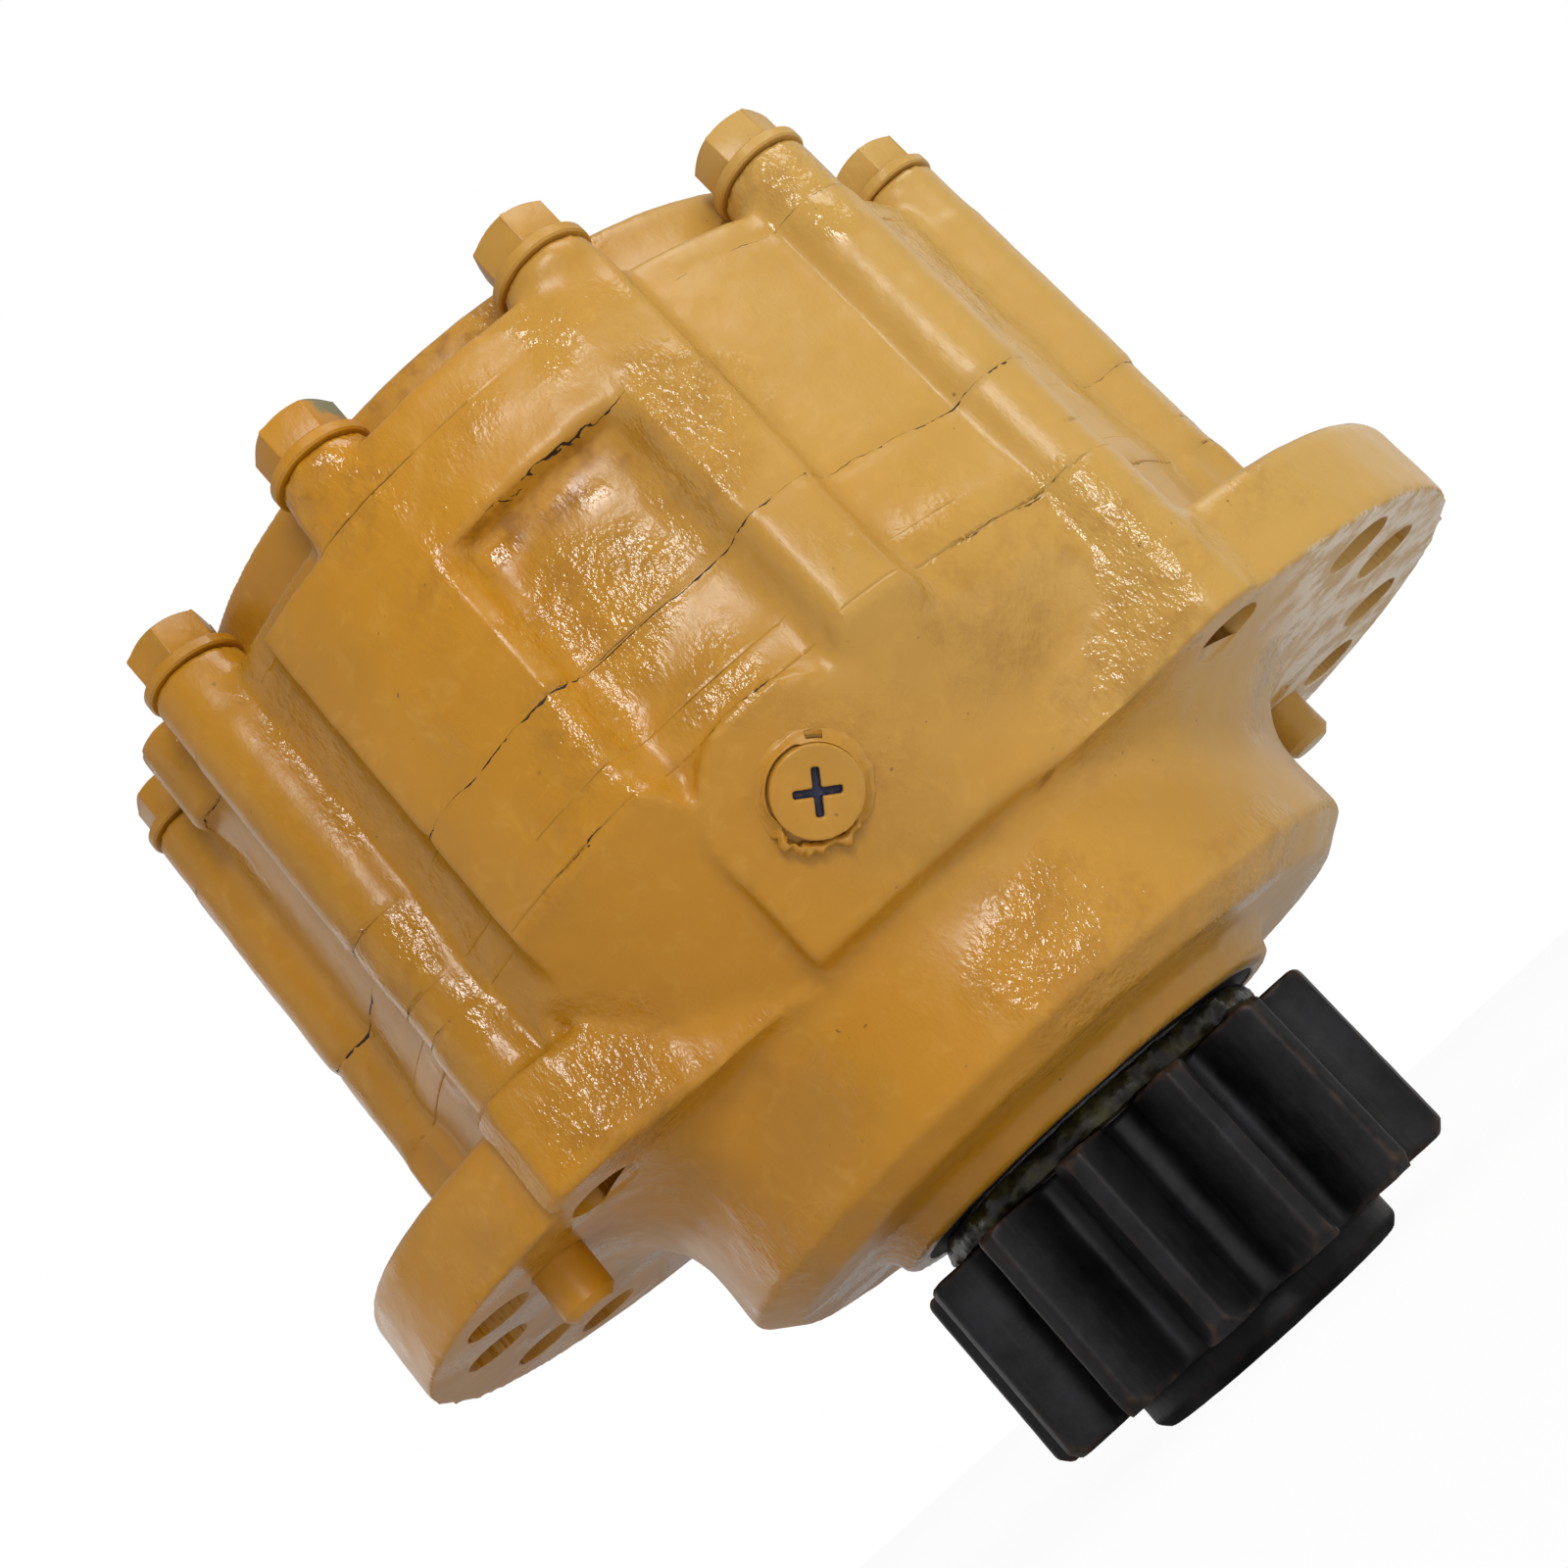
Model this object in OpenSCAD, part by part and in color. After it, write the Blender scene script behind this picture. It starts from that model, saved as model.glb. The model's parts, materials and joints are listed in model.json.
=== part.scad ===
// Two-stage planetary swing drive with a bolted flange and an output pinion.
// Millimetres. Z runs along the gear axis, motor side up. The flange underside is z = 0.

/* [Mounting flange] */
// Thickness of the two-eared mounting flange
flange_t = 31.5; // [24:0.5:45]
// Distance from the nose wall out to the tip of an ear
ear_reach = 90; // [70:1:110]
// Radius of each rounded ear, also half the width of the flange
ear_r = 118; // [100:1:135]
// Radius of the soft corners where the flange passes the bolt lobes
corner_r = 16; // [15.5:0.1:20]
// Size of the bevel round the top edge of the ears
ear_bevel = 4.5; // [1:0.5:8]
// Radius of each flange bolt hole
flange_hole_r = 11; // [8:0.5:14]
// Distance of the inner flange bolt holes from the tip of the ear
near_hole_edge = 26.5; // [20:0.5:36]
// Angle of the inner flange bolt holes from the ear centre line
near_hole_turn = 8.2; // [6:0.1:14]
// Further distance of the outer flange bolt holes from the tip of the ear
far_hole_back = 5; // [2:0.5:12]
// Angle of the outer flange bolt holes from the ear centre line
far_hole_turn = 20.8; // [16:0.1:26]
// Radius of the flat spot cut above each flange bolt hole
spot_r = 16; // [12:0.5:18]
// Depth of the flat spot cut above each flange bolt hole
spot_depth = 0.8; // [0.2:0.1:2]
// Radius of each jacking hole in the underside
jack_hole_r = 10.5; // [6:0.5:12]
// Depth of each jacking hole
jack_hole_depth = 24; // [12:1:28]
// Distance of the jacking holes from the axis
jack_hole_at = 150.5; // [145:0.5:158]
// Angle of the jacking holes from the ear centre line
jack_hole_turn = 40.9; // [36:0.1:46]
// Radius of each locating dowel
dowel_r = 9; // [6:0.5:12]
// Distance from the nose wall out to the locating dowels' centres
dowel_reach = 37.5; // [33:0.5:42]
// Angle of the locating dowels from the ear centre line
dowel_turn = 24.6; // [20:0.1:30]
// Length of dowel that stands out of the underside
dowel_out = 17; // [8:1:30]
// Length of dowel inside the flange
dowel_in = 23; // [12:1:28]
// Extra radius of the dowel's seat inside the flange
dowel_seat = 0.25; // [0.1:0.05:0.5]
// Bevel at the dowel ends
dowel_bevel = 2.4; // [0.5:0.1:4]

/* [Pilot nose] */
// Radius of the pilot nose
nose_r = 119; // [105:0.5:130]
// Depth of the pilot nose edge below the flange
nose_drop = 47; // [36:0.5:60]
// Radius of the fillet between flange and nose
nose_fillet_r = 28; // [8:1:30]
// Radius at the foot of the nose chamfer
nose_foot_r = 108; // [95:0.5:115]
// Depth of the nose foot below the flange
foot_drop = 55; // [50:0.5:60]
// Wall of the seal boss under the nose
seal_boss_wall = 8; // [5:0.5:20]
// Depth of the seal boss below the flange
boss_drop = 64.5; // [63:0.5:70]
// Fillet above the seal boss
boss_fillet_r = 8; // [2:0.5:8]
// Bevel at the rim of the seal boss
boss_bevel = 1.5; // [0.5:0.5:4]

/* [Housing stack] */
// Radius of the body wall between the bolt lobes
wall_r = 156; // [150:0.5:162]
// Number of body bolts
bolt_count = 12; // [8:2:16]
// Radius of the body bolt circle
bolt_circle_r = 155; // [150:0.5:160]
// Radius of the bolt lobes on the flange housing
low_lobe_r = 15.4; // [12:0.1:20]
// Radius of the bolt lobes on the plate and the spacer
mid_lobe_r = 14.6; // [12:0.1:20]
// Radius of the bolt lobes on the ring gear
ring_lobe_r = 15.6; // [12:0.1:20]
// Radius of the bolt lobes on the cover
cover_lobe_r = 15; // [12:0.1:20]
// Height of the flange housing above the flange underside
low_h = 57; // [50:0.5:66]
// Thickness of the bearing retainer plate
plate_t = 11; // [8:0.5:16]
// Radius of the retainer plate wall
plate_r = 157.5; // [154:0.5:162]
// Height of the spacer housing
spacer_h = 24.5; // [18:0.5:32]
// Height of the ring gear housing
ring_h = 75; // [70:0.5:84]
// Height of the cover up to the bolt seats
cover_h = 21.5; // [16:0.5:28]
// Height of the cover skirt
skirt_h = 11; // [6:0.5:16]
// Radius of the motor rim on the cover
rim_r = 138; // [120:0.5:142]
// Height of the motor rim above the bolt seats
rim_h = 17; // [8:0.5:24]
// Bevel round the motor rim
rim_bevel = 2; // [0.5:0.5:4]

/* [Front castings] */
// How far the smooth pad left of the pocket stands proud of the body wall
pad_proud = 11; // [4:0.5:16]
// Distance of the pad's left face from the axis plane
pad_left = 84; // [70:1:92]
// How far the panel between the two front bosses stands proud of the body wall
panel_proud = 10; // [2:0.5:16]
// Height of the lip that hangs over the pocket
lip_h = 26.5; // [15:0.5:40]
// Radius of the plain boss on the cover's left side
side_boss_r = 14; // [8:0.5:16]
// Distance from the axis to that boss
side_boss_at = 150; // [145:0.5:156]
// Angle of that boss from the front, to the left
side_boss_turn = 60; // [56:0.5:64]
// Height of that boss above the bolt seats
side_boss_rise = 10; // [2:0.5:12]
// Drop of the cover's front panel below the bolt seats
panel_drop = 7; // [2:0.5:12]
// How far the front taper stands out past the flange edge at the flange underside
taper_lip = 5; // [3:0.5:16]
// How far the front taper stands proud of the body wall at the top of the flange housing
taper_proud = 12.6; // [0:0.1:16]
// Distance from the axis plane to the side faces of the taper
taper_side = 94; // [90:1:94]

/* [Oil port] */
// Half width of the oil port boss
port_half_w = 30; // [20:0.5:36]
// Distance from the flange's straight front out to the foot of the oil port's face
port_reach = 13; // [6:0.5:20]
// Lean of the port boss face from upright
port_lean = 29.4; // [15:0.1:35]
// Distance up the face from its foot to the port
port_rise = 35.5; // [25:0.5:42]
// Depth of the boss behind its face
port_back = 26; // [15:1:40]
// Radius of the threaded oil port
port_r = 9; // [6:0.5:12]
// Depth of the threaded oil port
port_depth = 36; // [24:1:42]
// Radius of the plug head
plug_head_r = 12.4; // [9:0.1:15]
// Height of the plug head
plug_head_h = 4; // [2:0.5:8]
// Length of the plug thread
plug_thread = 15; // [8:1:24]
// Length of the crossed slots in the plug head
plug_slot_l = 13; // [8:0.5:18]
// Width and depth of the crossed slots
plug_slot_w = 2.2; // [1.2:0.1:4]
// Angle at which the plug came to rest
plug_turn = 56; // [0:1:90]
// Radius of the plug's sealing washer
plug_washer_r = 14; // [10:0.5:17]
// Width of the flat spot cut round the plug's sealing washer
port_spot = 1.5; // [0.5:0.5:3]
// Thickness of the plug's sealing washer
plug_washer_t = 1.5; // [0.8:0.1:3]
// Radius of the drilling that feeds the port
drain_r = 4; // [2:0.5:6]

/* [Motor mounting] */
// Radius of the motor pilot bore
pilot_r = 95; // [70:0.5:104]
// Depth of the motor pilot bore
pilot_depth = 8; // [4:0.5:14]
// Radius of the opening for the motor shaft
mouth_r = 78; // [50:0.5:84]
// Number of tapped motor bolt holes
motor_holes = 8; // [4:1:12]
// Radius of the motor bolt circle
motor_circle_r = 119; // [110:0.5:126]
// Radius of each tapped motor bolt hole
motor_hole_r = 6; // [4:0.5:8]
// Depth of each tapped motor bolt hole
motor_hole_depth = 22; // [16:1:24]
// Radius of the gasket groove in the rim face
face_groove_r = 103; // [98:0.5:110]
// Width of the gasket groove
face_groove_w = 4; // [2:0.5:6]
// Depth of the gasket groove
face_groove_d = 2.5; // [1:0.5:4]
// Radius of the cover's inner cavity
cavity_r = 130; // [126:0.5:138]
// Height of the cover's inner cavity
cavity_h = 12; // [8:0.5:18]

/* [Body bolts] */
// Radius of each body bolt
bolt_r = 8; // [5:0.5:10]
// Radius of the clearance hole for each body bolt
bolt_clear_r = 8.75; // [6:0.25:11]
// Width across the flats of each bolt head
bolt_head_w = 24; // [16:1:30]
// Height of each bolt head
bolt_head_h = 12.5; // [8:0.1:14]
// Angle of the bevel on top of each bolt head
bolt_head_lean = 30; // [20:1:35]
// Radius of each bolt washer
washer_r = 16; // [12:0.5:20]
// Thickness of each bolt washer
washer_t = 4; // [2:0.5:5]
// Length of the eight long bolts inside the flange housing
bolt_grip = 24; // [16:1:26]
// Length of the four short front and back bolts inside the spacer
short_grip = 22; // [14:1:23]
// Depth of each tapped hole in the flange housing
tapped_depth = 27; // [18:1:29]

/* [Output pinion] */
// Number of pinion teeth
pinion_teeth = 13; // [10:1:18]
// Pinion module
pinion_module = 10; // [8:0.5:12]
// Addendum shift of the pinion as a share of the module
pinion_shift = 0.2; // [0:0.05:0.6]
// Gap between the flange underside and the top of the pinion
pinion_top_drop = 73.4; // [70:0.1:80]
// Face width of the pinion
pinion_w = 63; // [50:0.5:80]
// Bevel at the tooth tips
pinion_tip_bevel = 3.5; // [0.5:0.5:6]
// Radius of the hub under the pinion
hub_r = 47.3; // [40:0.1:52]
// Height of the hub under the pinion
hub_h = 11; // [6:0.5:20]
// Bevel round the hub
hub_bevel = 3; // [0.5:0.5:5]
// Radius of the centre hole in the hub
centre_hole_r = 5; // [3:0.5:8]
// Depth of the centre hole in the hub
centre_hole_d = 14; // [8:1:24]

/* [Output shaft and bearings] */
// Wall thickness of the seal sleeve on the shaft
sleeve_wall = 3.8; // [2:0.1:5]
// Radius of the lower bearing seat
low_seat_r = 50; // [46:0.5:50]
// Radial section of the lower bearing
low_section = 30; // [26:0.5:34]
// Width of the lower bearing
low_bearing_w = 46; // [36:1:50]
// Step from the lower bearing seat in to the shaft between the bearings
waist_step = 5; // [3:0.5:8]
// Length of the spacer between the bearings
gap_w = 18; // [12:1:22]
// Step from the shaft between the bearings in to the upper bearing seat
up_step = 5; // [3:0.5:9]
// Radial section of the upper bearing
up_section = 45; // [42:0.5:48]
// Step from the upper bearing seat in to the thread
thread_step = 2; // [1:0.5:4]
// Radial thickness of the bearing nut
nut_wall = 18; // [12:0.5:22]
// Thickness of the bearing nut
nut_t = 10; // [8:0.5:12]
// Number of spanner slots in the bearing nut
nut_slots = 6; // [4:1:8]
// Width and depth of each spanner slot
nut_slot_w = 9; // [6:0.5:12]
// Room round the bearing nut in the retainer plate
nut_room = 10; // [4:0.5:20]
// Radial thickness of the lower bearing's rings
low_ring_t = 9; // [7:0.5:12]
// Radial thickness of the upper bearing's rings
up_ring_t = 12; // [8:0.5:14]
// Number of rollers in the lower bearing
low_rollers = 24; // [14:1:26]
// Number of rollers in the upper bearing
up_rollers = 14; // [10:1:18]
// Radial height of the shaft seals
seal_h = 12.2; // [9:0.1:14]
// Width of the shoulder under the lower bearing
shoulder_w = 8; // [4:0.5:12]
// Width of the main shaft seal
seal_w = 8.5; // [6:0.5:9]
// Width of the outer dust seal
dust_seal_w = 4.5; // [3:0.5:5]
// Step from the thread in to the tips of the shaft splines
spline_step = 2; // [1:0.5:6]
// Depth of the shaft splines
spline_d = 2.6; // [1.5:0.1:4]
// Number of shaft splines
spline_n = 24; // [16:2:32]

/* [Planetary gears] */
// Gear module of both stages
gear_module = 4; // [3:0.5:5]
// Pressure angle of every gear
pressure_angle = 20; // [14.5:0.5:25]
// Number of ring gear teeth, a multiple of three
ring_teeth = 66; // [60:6:72]
// Number of first-stage sun teeth, a multiple of three
sun_a_teeth = 18; // [18:6:24]
// Number of second-stage sun teeth, a multiple of three
sun_b_teeth = 24; // [18:6:30]
// Tooth thinning on suns and planets
backlash = 0.3; // [0.1:0.05:0.5]
// Extra width of the ring gear's tooth spaces
ring_slack = 0.1; // [0:0.05:0.3]
// Number of planets in each stage
planets = 3; // [3:1:3]
// Face width of the first-stage planets
planet_a_w = 18; // [14:0.5:20]
// Face width of the second-stage planets
planet_b_w = 33; // [26:0.5:34]
// Radius of each first-stage planet pin
pin_a_r = 12; // [9:0.5:14]
// Radius of each second-stage planet pin
pin_b_r = 15; // [11:0.5:17]
// Radial thickness of the needle rollers
needle_t = 5; // [3:0.5:6]
// Number of needle rollers in each planet
needle_n = 14; // [10:1:20]
// Thickness of each planet's thrust washer
thrust_t = 2; // [1:0.1:3]
// Radial width of each planet's thrust washer
thrust_w = 8; // [6:0.5:10]
// Thickness of the second carrier's lower plate
carrier_b_t = 20; // [14:0.5:24]
// Thickness of the second carrier's upper plate
carrier_b_top_t = 7.5; // [6:0.5:10]
// Radius of the second carrier
carrier_b_r = 114; // [108:0.5:120]
// Thickness of the first carrier's plate
carrier_a_t = 8.5; // [6:0.5:12]
// Radius of the first carrier
carrier_a_r = 104; // [98:0.5:115]
// Gap between the two carriers
carrier_gap = 2.5; // [1.5:0.5:5]
// Radius of the second sun's shank
shank_r = 28; // [24:0.5:32]
// Outer radius of the first sun's shaft
input_r = 27; // [22:0.5:29]
// Radius of the splined bore for the motor shaft
input_bore_r = 19; // [14:0.5:21]
// Height of the first sun's shaft above its teeth
input_rise = 27; // [20:1:38]

/* [Clearances] */
// Radial running gap between curved parts that turn past each other
run = 0.3; // [0.2:0.05:0.6]
// End gap beside every planet
side = 0.3; // [0.2:0.05:0.6]
// Radial gap between a spline and its bore
spline_gap = 0.12; // [0.05:0.01:0.3]
// Radial gap between a body bolt and its tapped hole
thread_gap = 0.05; // [0.02:0.01:0.2]

/* [Seals] */
// Centre radius of the body O-rings
oring_at = 142; // [140:0.5:143]
// Thickness of the body O-rings
oring_t = 2.6; // [2:0.1:3.2]
// Width left beside an O-ring in its groove
oring_room = 0.3; // [0.1:0.1:0.6]

/* [Hidden] */
enamel = "#cf9a3c";
steel = "#8e9296";
dark_steel = "#3a3b3d";
bronze = "#a8834a";
rubber = "#26282a";
round_fn = 96;
small_fn = 48;
flank_steps = 5;
eps = 0.01;
half_share = 0.5;
step_gap = 0.5;

z_plate = low_h;
z_spacer = z_plate + plate_t;
z_ring = z_spacer + spacer_h;
z_cover = z_ring + ring_h;
z_seat = z_cover + cover_h;
z_rim = z_seat + rim_h;
z_skirt = z_cover + skirt_h;
bolt_step = 360 / bolt_count;
flange_reach = nose_r + ear_reach;
dowel_at = nose_r + dowel_reach;
ear_x = flange_reach - ear_r;
port_foot_y = ear_r + port_reach;
near_hole_at = flange_reach - near_hole_edge;
far_hole_at = near_hole_at - far_hole_back;
pad_r = wall_r + pad_proud;
panel_r = wall_r + panel_proud;
taper_foot_r = ear_r + taper_lip;
taper_top_r = wall_r + taper_proud;

ring_pitch_r = gear_module * ring_teeth / 2;
sun_a_r = gear_module * sun_a_teeth / 2;
sun_b_r = gear_module * sun_b_teeth / 2;
planet_a_teeth = (ring_teeth - sun_a_teeth) / 2;
planet_b_teeth = (ring_teeth - sun_b_teeth) / 2;
planet_a_r = gear_module * planet_a_teeth / 2;
planet_b_r = gear_module * planet_b_teeth / 2;
orbit_a = sun_a_r + planet_a_r;
orbit_b = sun_b_r + planet_b_r;
root_share = 1.25;
ring_root_r = ring_pitch_r + root_share * gear_module;
tooth_step = 360 / ring_teeth;
// The second stage is turned so that a ring space faces each of its planets.
turn_b = (floor(ring_teeth / 6) + half_share) * tooth_step;
planet_turn = 360 / planets;

z_carrier_b = z_spacer + carrier_gap;
z_planet_b = z_carrier_b + carrier_b_t + thrust_t + side;
z_carrier_b_top = z_planet_b + planet_b_w + side + thrust_t;
z_carrier_a = z_carrier_b_top + carrier_b_top_t + carrier_gap;
z_planet_a = z_carrier_a + carrier_a_t + thrust_t + side;
z_planet_a_top = z_planet_a + planet_a_w;
web_gap = 3;
web_in_r = sun_b_r + 2 * gear_module + web_gap;
bore_r = ring_root_r + half_share * gear_module;

pinion_pitch_r = pinion_teeth * pinion_module / 2;
pinion_r = pinion_pitch_r + (1 + pinion_shift) * pinion_module;
pinion_root_r = pinion_pitch_r - (root_share - pinion_shift) * pinion_module;
sleeve_r = low_seat_r + sleeve_wall;
low_outer_r = low_seat_r + low_section;
shoulder_r = low_outer_r - shoulder_w;
seal_bore_r = sleeve_r + seal_h;
seal_boss_r = seal_bore_r + seal_boss_wall;
waist_r = low_seat_r - waist_step;
up_seat_r = waist_r - up_step;
up_outer_r = up_seat_r + up_section;
thread_r = up_seat_r - thread_step;
nut_r = thread_r + nut_wall;
plate_bore_r = nut_r + nut_room;
spline_r = thread_r - spline_step;
z_pinion = -pinion_top_drop - pinion_w;
z_hub = z_pinion - hub_h;
z_low_bearing = -low_bearing_w;
z_up_bearing = gap_w;
up_bearing_w = low_h - gap_w;
z_shaft_top = z_carrier_b + carrier_b_t - plate_t / 2;
shaft_bevel = 2;
seal_bore_d = boss_drop - low_bearing_w - shaft_bevel * 2;
z_seal_bore = -boss_drop + seal_bore_d;
end_plate_t = plate_t / 2 - step_gap;
pin_bevel = 1;
circlip_t = 1.75;
circlip_d = 1.5;
circlip_w = 4;
oring_groove_w = oring_t + 2 * oring_room;
front_turn = -90;
pinion_rest = 10.5;
all_bolts = [for (i = [0 : bolt_count - 1]) i];
half_count = bolt_count / 2;
short_bolts = [for (i = all_bolts) if (i % half_count == 0 || i % half_count == half_count - 1) i];
long_bolts = [for (i = all_bolts) if (i % half_count > 0 && i % half_count < half_count - 1) i];
front_bolts = [0, bolt_count - 1];
side_bolts = [for (i = all_bolts) if (i > 0 && i < bolt_count - 1) i];
front_x = bolt_circle_r * sin(bolt_step / 2);
panel_half_w = front_x + cover_lobe_r;
corner_at = bolt_circle_r * cos(45);
corner_x = 75;
end_screw_at = spline_r * half_share;
end_screw_r = 4;
end_screw_head_r = 6.5;
end_screw_l = 18;
seal_wall = 2;
carrier_a_hub_t = 14;
arc_steps = 8;
ring_steps = 4;
heel_rise_share = 0.3;
heel_share = 0.12;
toe_share = 0.55;
spline_root_share = 1.25;
spline_tip_share = 0.85;
bevel_share = 0.3;
cage_share = 0.6;

function polar(r, a) = [r * cos(a), r * sin(a)];
function involute_deg(a) = tan(a) * 180 / PI - a;
function arc_points(cx, cy, r, a0, a1, n) =
  [for (i = [0 : n]) [cx + r * cos(a0 + (a1 - a0) * i / n), cy + r * sin(a0 + (a1 - a0) * i / n)]];

// Half the angle a tooth covers at radius r, for a pitch thickness of half_pitch degrees each side.
function flank_turn(r, base_r, half_pitch) =
  half_pitch + involute_deg(pressure_angle) - involute_deg(acos(min(1, base_r / r)));

// Outline of a spur gear; grow widens every tooth at the pitch circle.
function gear_points(teeth, module_mm, shift, tip_r, root_r, grow, steps) =
  let (
    pitch_r = teeth * module_mm / 2,
    base_r = pitch_r * cos(pressure_angle),
    half_pitch = 90 / teeth + (2 * shift * tan(pressure_angle) / teeth + grow / 2 / pitch_r) * 180 / PI,
    start_r = max(base_r, root_r),
    foot_turn = flank_turn(start_r, base_r, half_pitch),
    land_turn = 180 / teeth - foot_turn,
    heel_r = root_r + (start_r - root_r) * heel_rise_share,
    heel_turn = foot_turn + land_turn * heel_share,
    toe_turn = foot_turn + land_turn * toe_share
  )
  [for (i = [0 : teeth - 1]) let (mid = i * 360 / teeth)
    each concat(
      [polar(root_r, mid - toe_turn), polar(heel_r, mid - heel_turn)],
      [for (k = [0 : steps]) let (r = start_r + (tip_r - start_r) * k / steps)
        polar(r, mid - flank_turn(r, base_r, half_pitch))],
      [for (k = [steps : -1 : 0]) let (r = start_r + (tip_r - start_r) * k / steps)
        polar(r, mid + flank_turn(r, base_r, half_pitch))],
      [polar(heel_r, mid + heel_turn), polar(root_r, mid + toe_turn)]
    )];

// Outline of a straight-sided spline, tips at r, grown outward by gap.
function spline_points(n, r, d, gap) =
  [for (i = [0 : n - 1]) let (mid = i * 360 / n, w = 90 / n, g = gap / r * 180 / PI)
    each [
      polar(r - d + gap, mid - w * spline_root_share - g),
      polar(r + gap, mid - w * spline_tip_share - g),
      polar(r + gap, mid + w * spline_tip_share + g),
      polar(r - d + gap, mid + w * spline_root_share + g)
    ]];

module turned(count, step) {
  for (i = [0 : count - 1])
    rotate([0, 0, i * step]) children();
}

module at_bolts(places = all_bolts) {
  for (i = places)
    rotate([0, 0, front_turn + (i + half_share) * bolt_step]) translate([bolt_circle_r, 0, 0]) children();
}

// Repeats its children at the four mirrored places an ear hole has.
module at_ears(at, turn) {
  for (mx = [0, 1], my = [0, 1])
    mirror([mx, 0, 0]) mirror([0, my, 0]) translate([at * cos(turn), at * sin(turn), 0]) children();
}

module at_dowels() {
  for (half = [0, 180])
    rotate([0, 0, half + dowel_turn]) translate([dowel_at, 0, 0]) children();
}

module ring(r_out, r_in, h) {
  difference() {
    cylinder(r = r_out, h = h, $fn = round_fn);
    translate([0, 0, -eps]) cylinder(r = r_in, h = h + 2 * eps, $fn = round_fn);
  }
}

// The two bolt lobes next to the front are cast flush with the pad between them.
module lobes(lobe) {
  at_bolts(side_bolts) circle(r = lobe, $fn = small_fn);
  intersection() {
    at_bolts(front_bolts) circle(r = lobe, $fn = small_fn);
    circle(r = pad_r, $fn = round_fn);
  }
}

module plan(wall, lobe) {
  circle(r = wall, $fn = round_fn);
  lobes(lobe);
}

module front_pad() {
  intersection() {
    circle(r = pad_r, $fn = round_fn);
    translate([-pad_left, -pad_r]) square([pad_left - front_x, pad_r / 2]);
  }
}

module front_panel() {
  intersection() {
    circle(r = panel_r, $fn = round_fn);
    translate([-panel_half_w, -panel_r]) square([2 * panel_half_w, panel_r / 2]);
  }
}

module bolt_holes(r, z, h, places = all_bolts) {
  at_bolts(places) translate([0, 0, z]) cylinder(r = r, h = h, $fn = small_fn);
}

// Groove for a body O-ring in the top face at height z.
module oring_groove(z) {
  translate([0, 0, z - oring_t])
    ring(oring_at + oring_groove_w / 2, oring_at - oring_groove_w / 2, oring_t + eps);
}

// Local frame of the oil port: origin on the face of its boss, Z pointing out of the face.
module on_port() {
  translate([0, -port_foot_y, 0]) rotate([90 + port_lean, 0, 0]) children();
}

module flange_plate() {
  edge = [
    [0, 0], [ear_r, 0], [ear_r, flange_t - ear_bevel],
    [ear_r - ear_bevel * bevel_share, flange_t - ear_bevel * bevel_share],
    [ear_r - ear_bevel, flange_t], [0, flange_t]
  ];
  for (s = [-1, 1])
    translate([s * ear_x, 0, 0]) rotate_extrude($fn = round_fn) polygon(edge);
  translate([-ear_x, 0, 0]) rotate([90, 0, 90]) linear_extrude(2 * ear_x)
    polygon(concat(edge, [for (i = [len(edge) - 1 : -1 : 0]) [-edge[i][0], edge[i][1]]]));
  // Soft corners where the four lobes next to the front and the back run down through the flange.
  at_ears(bolt_circle_r, 45) cylinder(r = corner_r, h = flange_t, $fn = small_fn);
  at_ears(0, 0) linear_extrude(flange_t) polygon([
    [corner_x, corner_x], [corner_x, ear_r], [corner_at, corner_at + corner_r], [corner_at, corner_x]
  ]);
}

module nose() intersection() {
  rotate_extrude($fn = round_fn)
    polygon(concat(
      [[0, -boss_drop], [seal_boss_r - boss_bevel, -boss_drop], [seal_boss_r, -boss_drop + boss_bevel]],
      arc_points(seal_boss_r + boss_fillet_r, -foot_drop - boss_fillet_r, boss_fillet_r, 180, 90, arc_steps),
      [[nose_foot_r - boss_bevel, -foot_drop], [nose_foot_r, -foot_drop + boss_bevel / 2]],
      [[nose_r, -nose_drop]],
      arc_points(nose_r + nose_fillet_r, -nose_fillet_r, nose_fillet_r, 180, 90, arc_steps),
      [[nose_r + nose_fillet_r, shaft_bevel], [0, shaft_bevel]]
    ));
  // The fillet ends at the straight front and back edges of the flange.
  union() {
    translate([-wall_r, -ear_r, -2 * boss_drop]) cube([2 * wall_r, 2 * ear_r, 3 * boss_drop]);
    rotate_extrude($fn = round_fn) polygon([
      [0, -2 * boss_drop], [nose_r, -2 * boss_drop], [nose_r, -nose_fillet_r],
      [taper_foot_r, 0], [taper_foot_r, shaft_bevel], [0, shaft_bevel]
    ]);
  }
}

module taper(r_foot, r_top, h) {
  rotate_extrude($fn = round_fn) polygon([[0, 0], [r_foot, 0], [r_top, h], [0, h]]);
}

// The part of the casting that tapers toward the front and the back edge of the flange.
module taper_zone() {
  translate([-taper_side, -2 * wall_r, 0]) cube([2 * taper_side, 4 * wall_r, low_h]);
}

module low_body() {
  difference() {
    translate([0, 0, flange_t - pin_bevel]) linear_extrude(low_h - flange_t + pin_bevel)
      plan(wall_r, low_lobe_r);
    taper_zone();
  }
  intersection() {
    taper(taper_foot_r, taper_top_r, low_h);
    taper_zone();
    linear_extrude(low_h) {
      plan(wall_r, low_lobe_r);
      front_pad();
    }
  }
}

module port_boss() {
  intersection() {
    on_port() translate([0, 0, -port_back]) linear_extrude(port_back) {
      translate([0, port_rise]) circle(r = port_half_w, $fn = round_fn);
      translate([-port_half_w, -port_back]) square([2 * port_half_w, port_rise + port_back]);
    }
    translate([-wall_r, -2 * wall_r, 0]) cube([2 * wall_r, 2 * wall_r, low_h]);
  }
}

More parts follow.
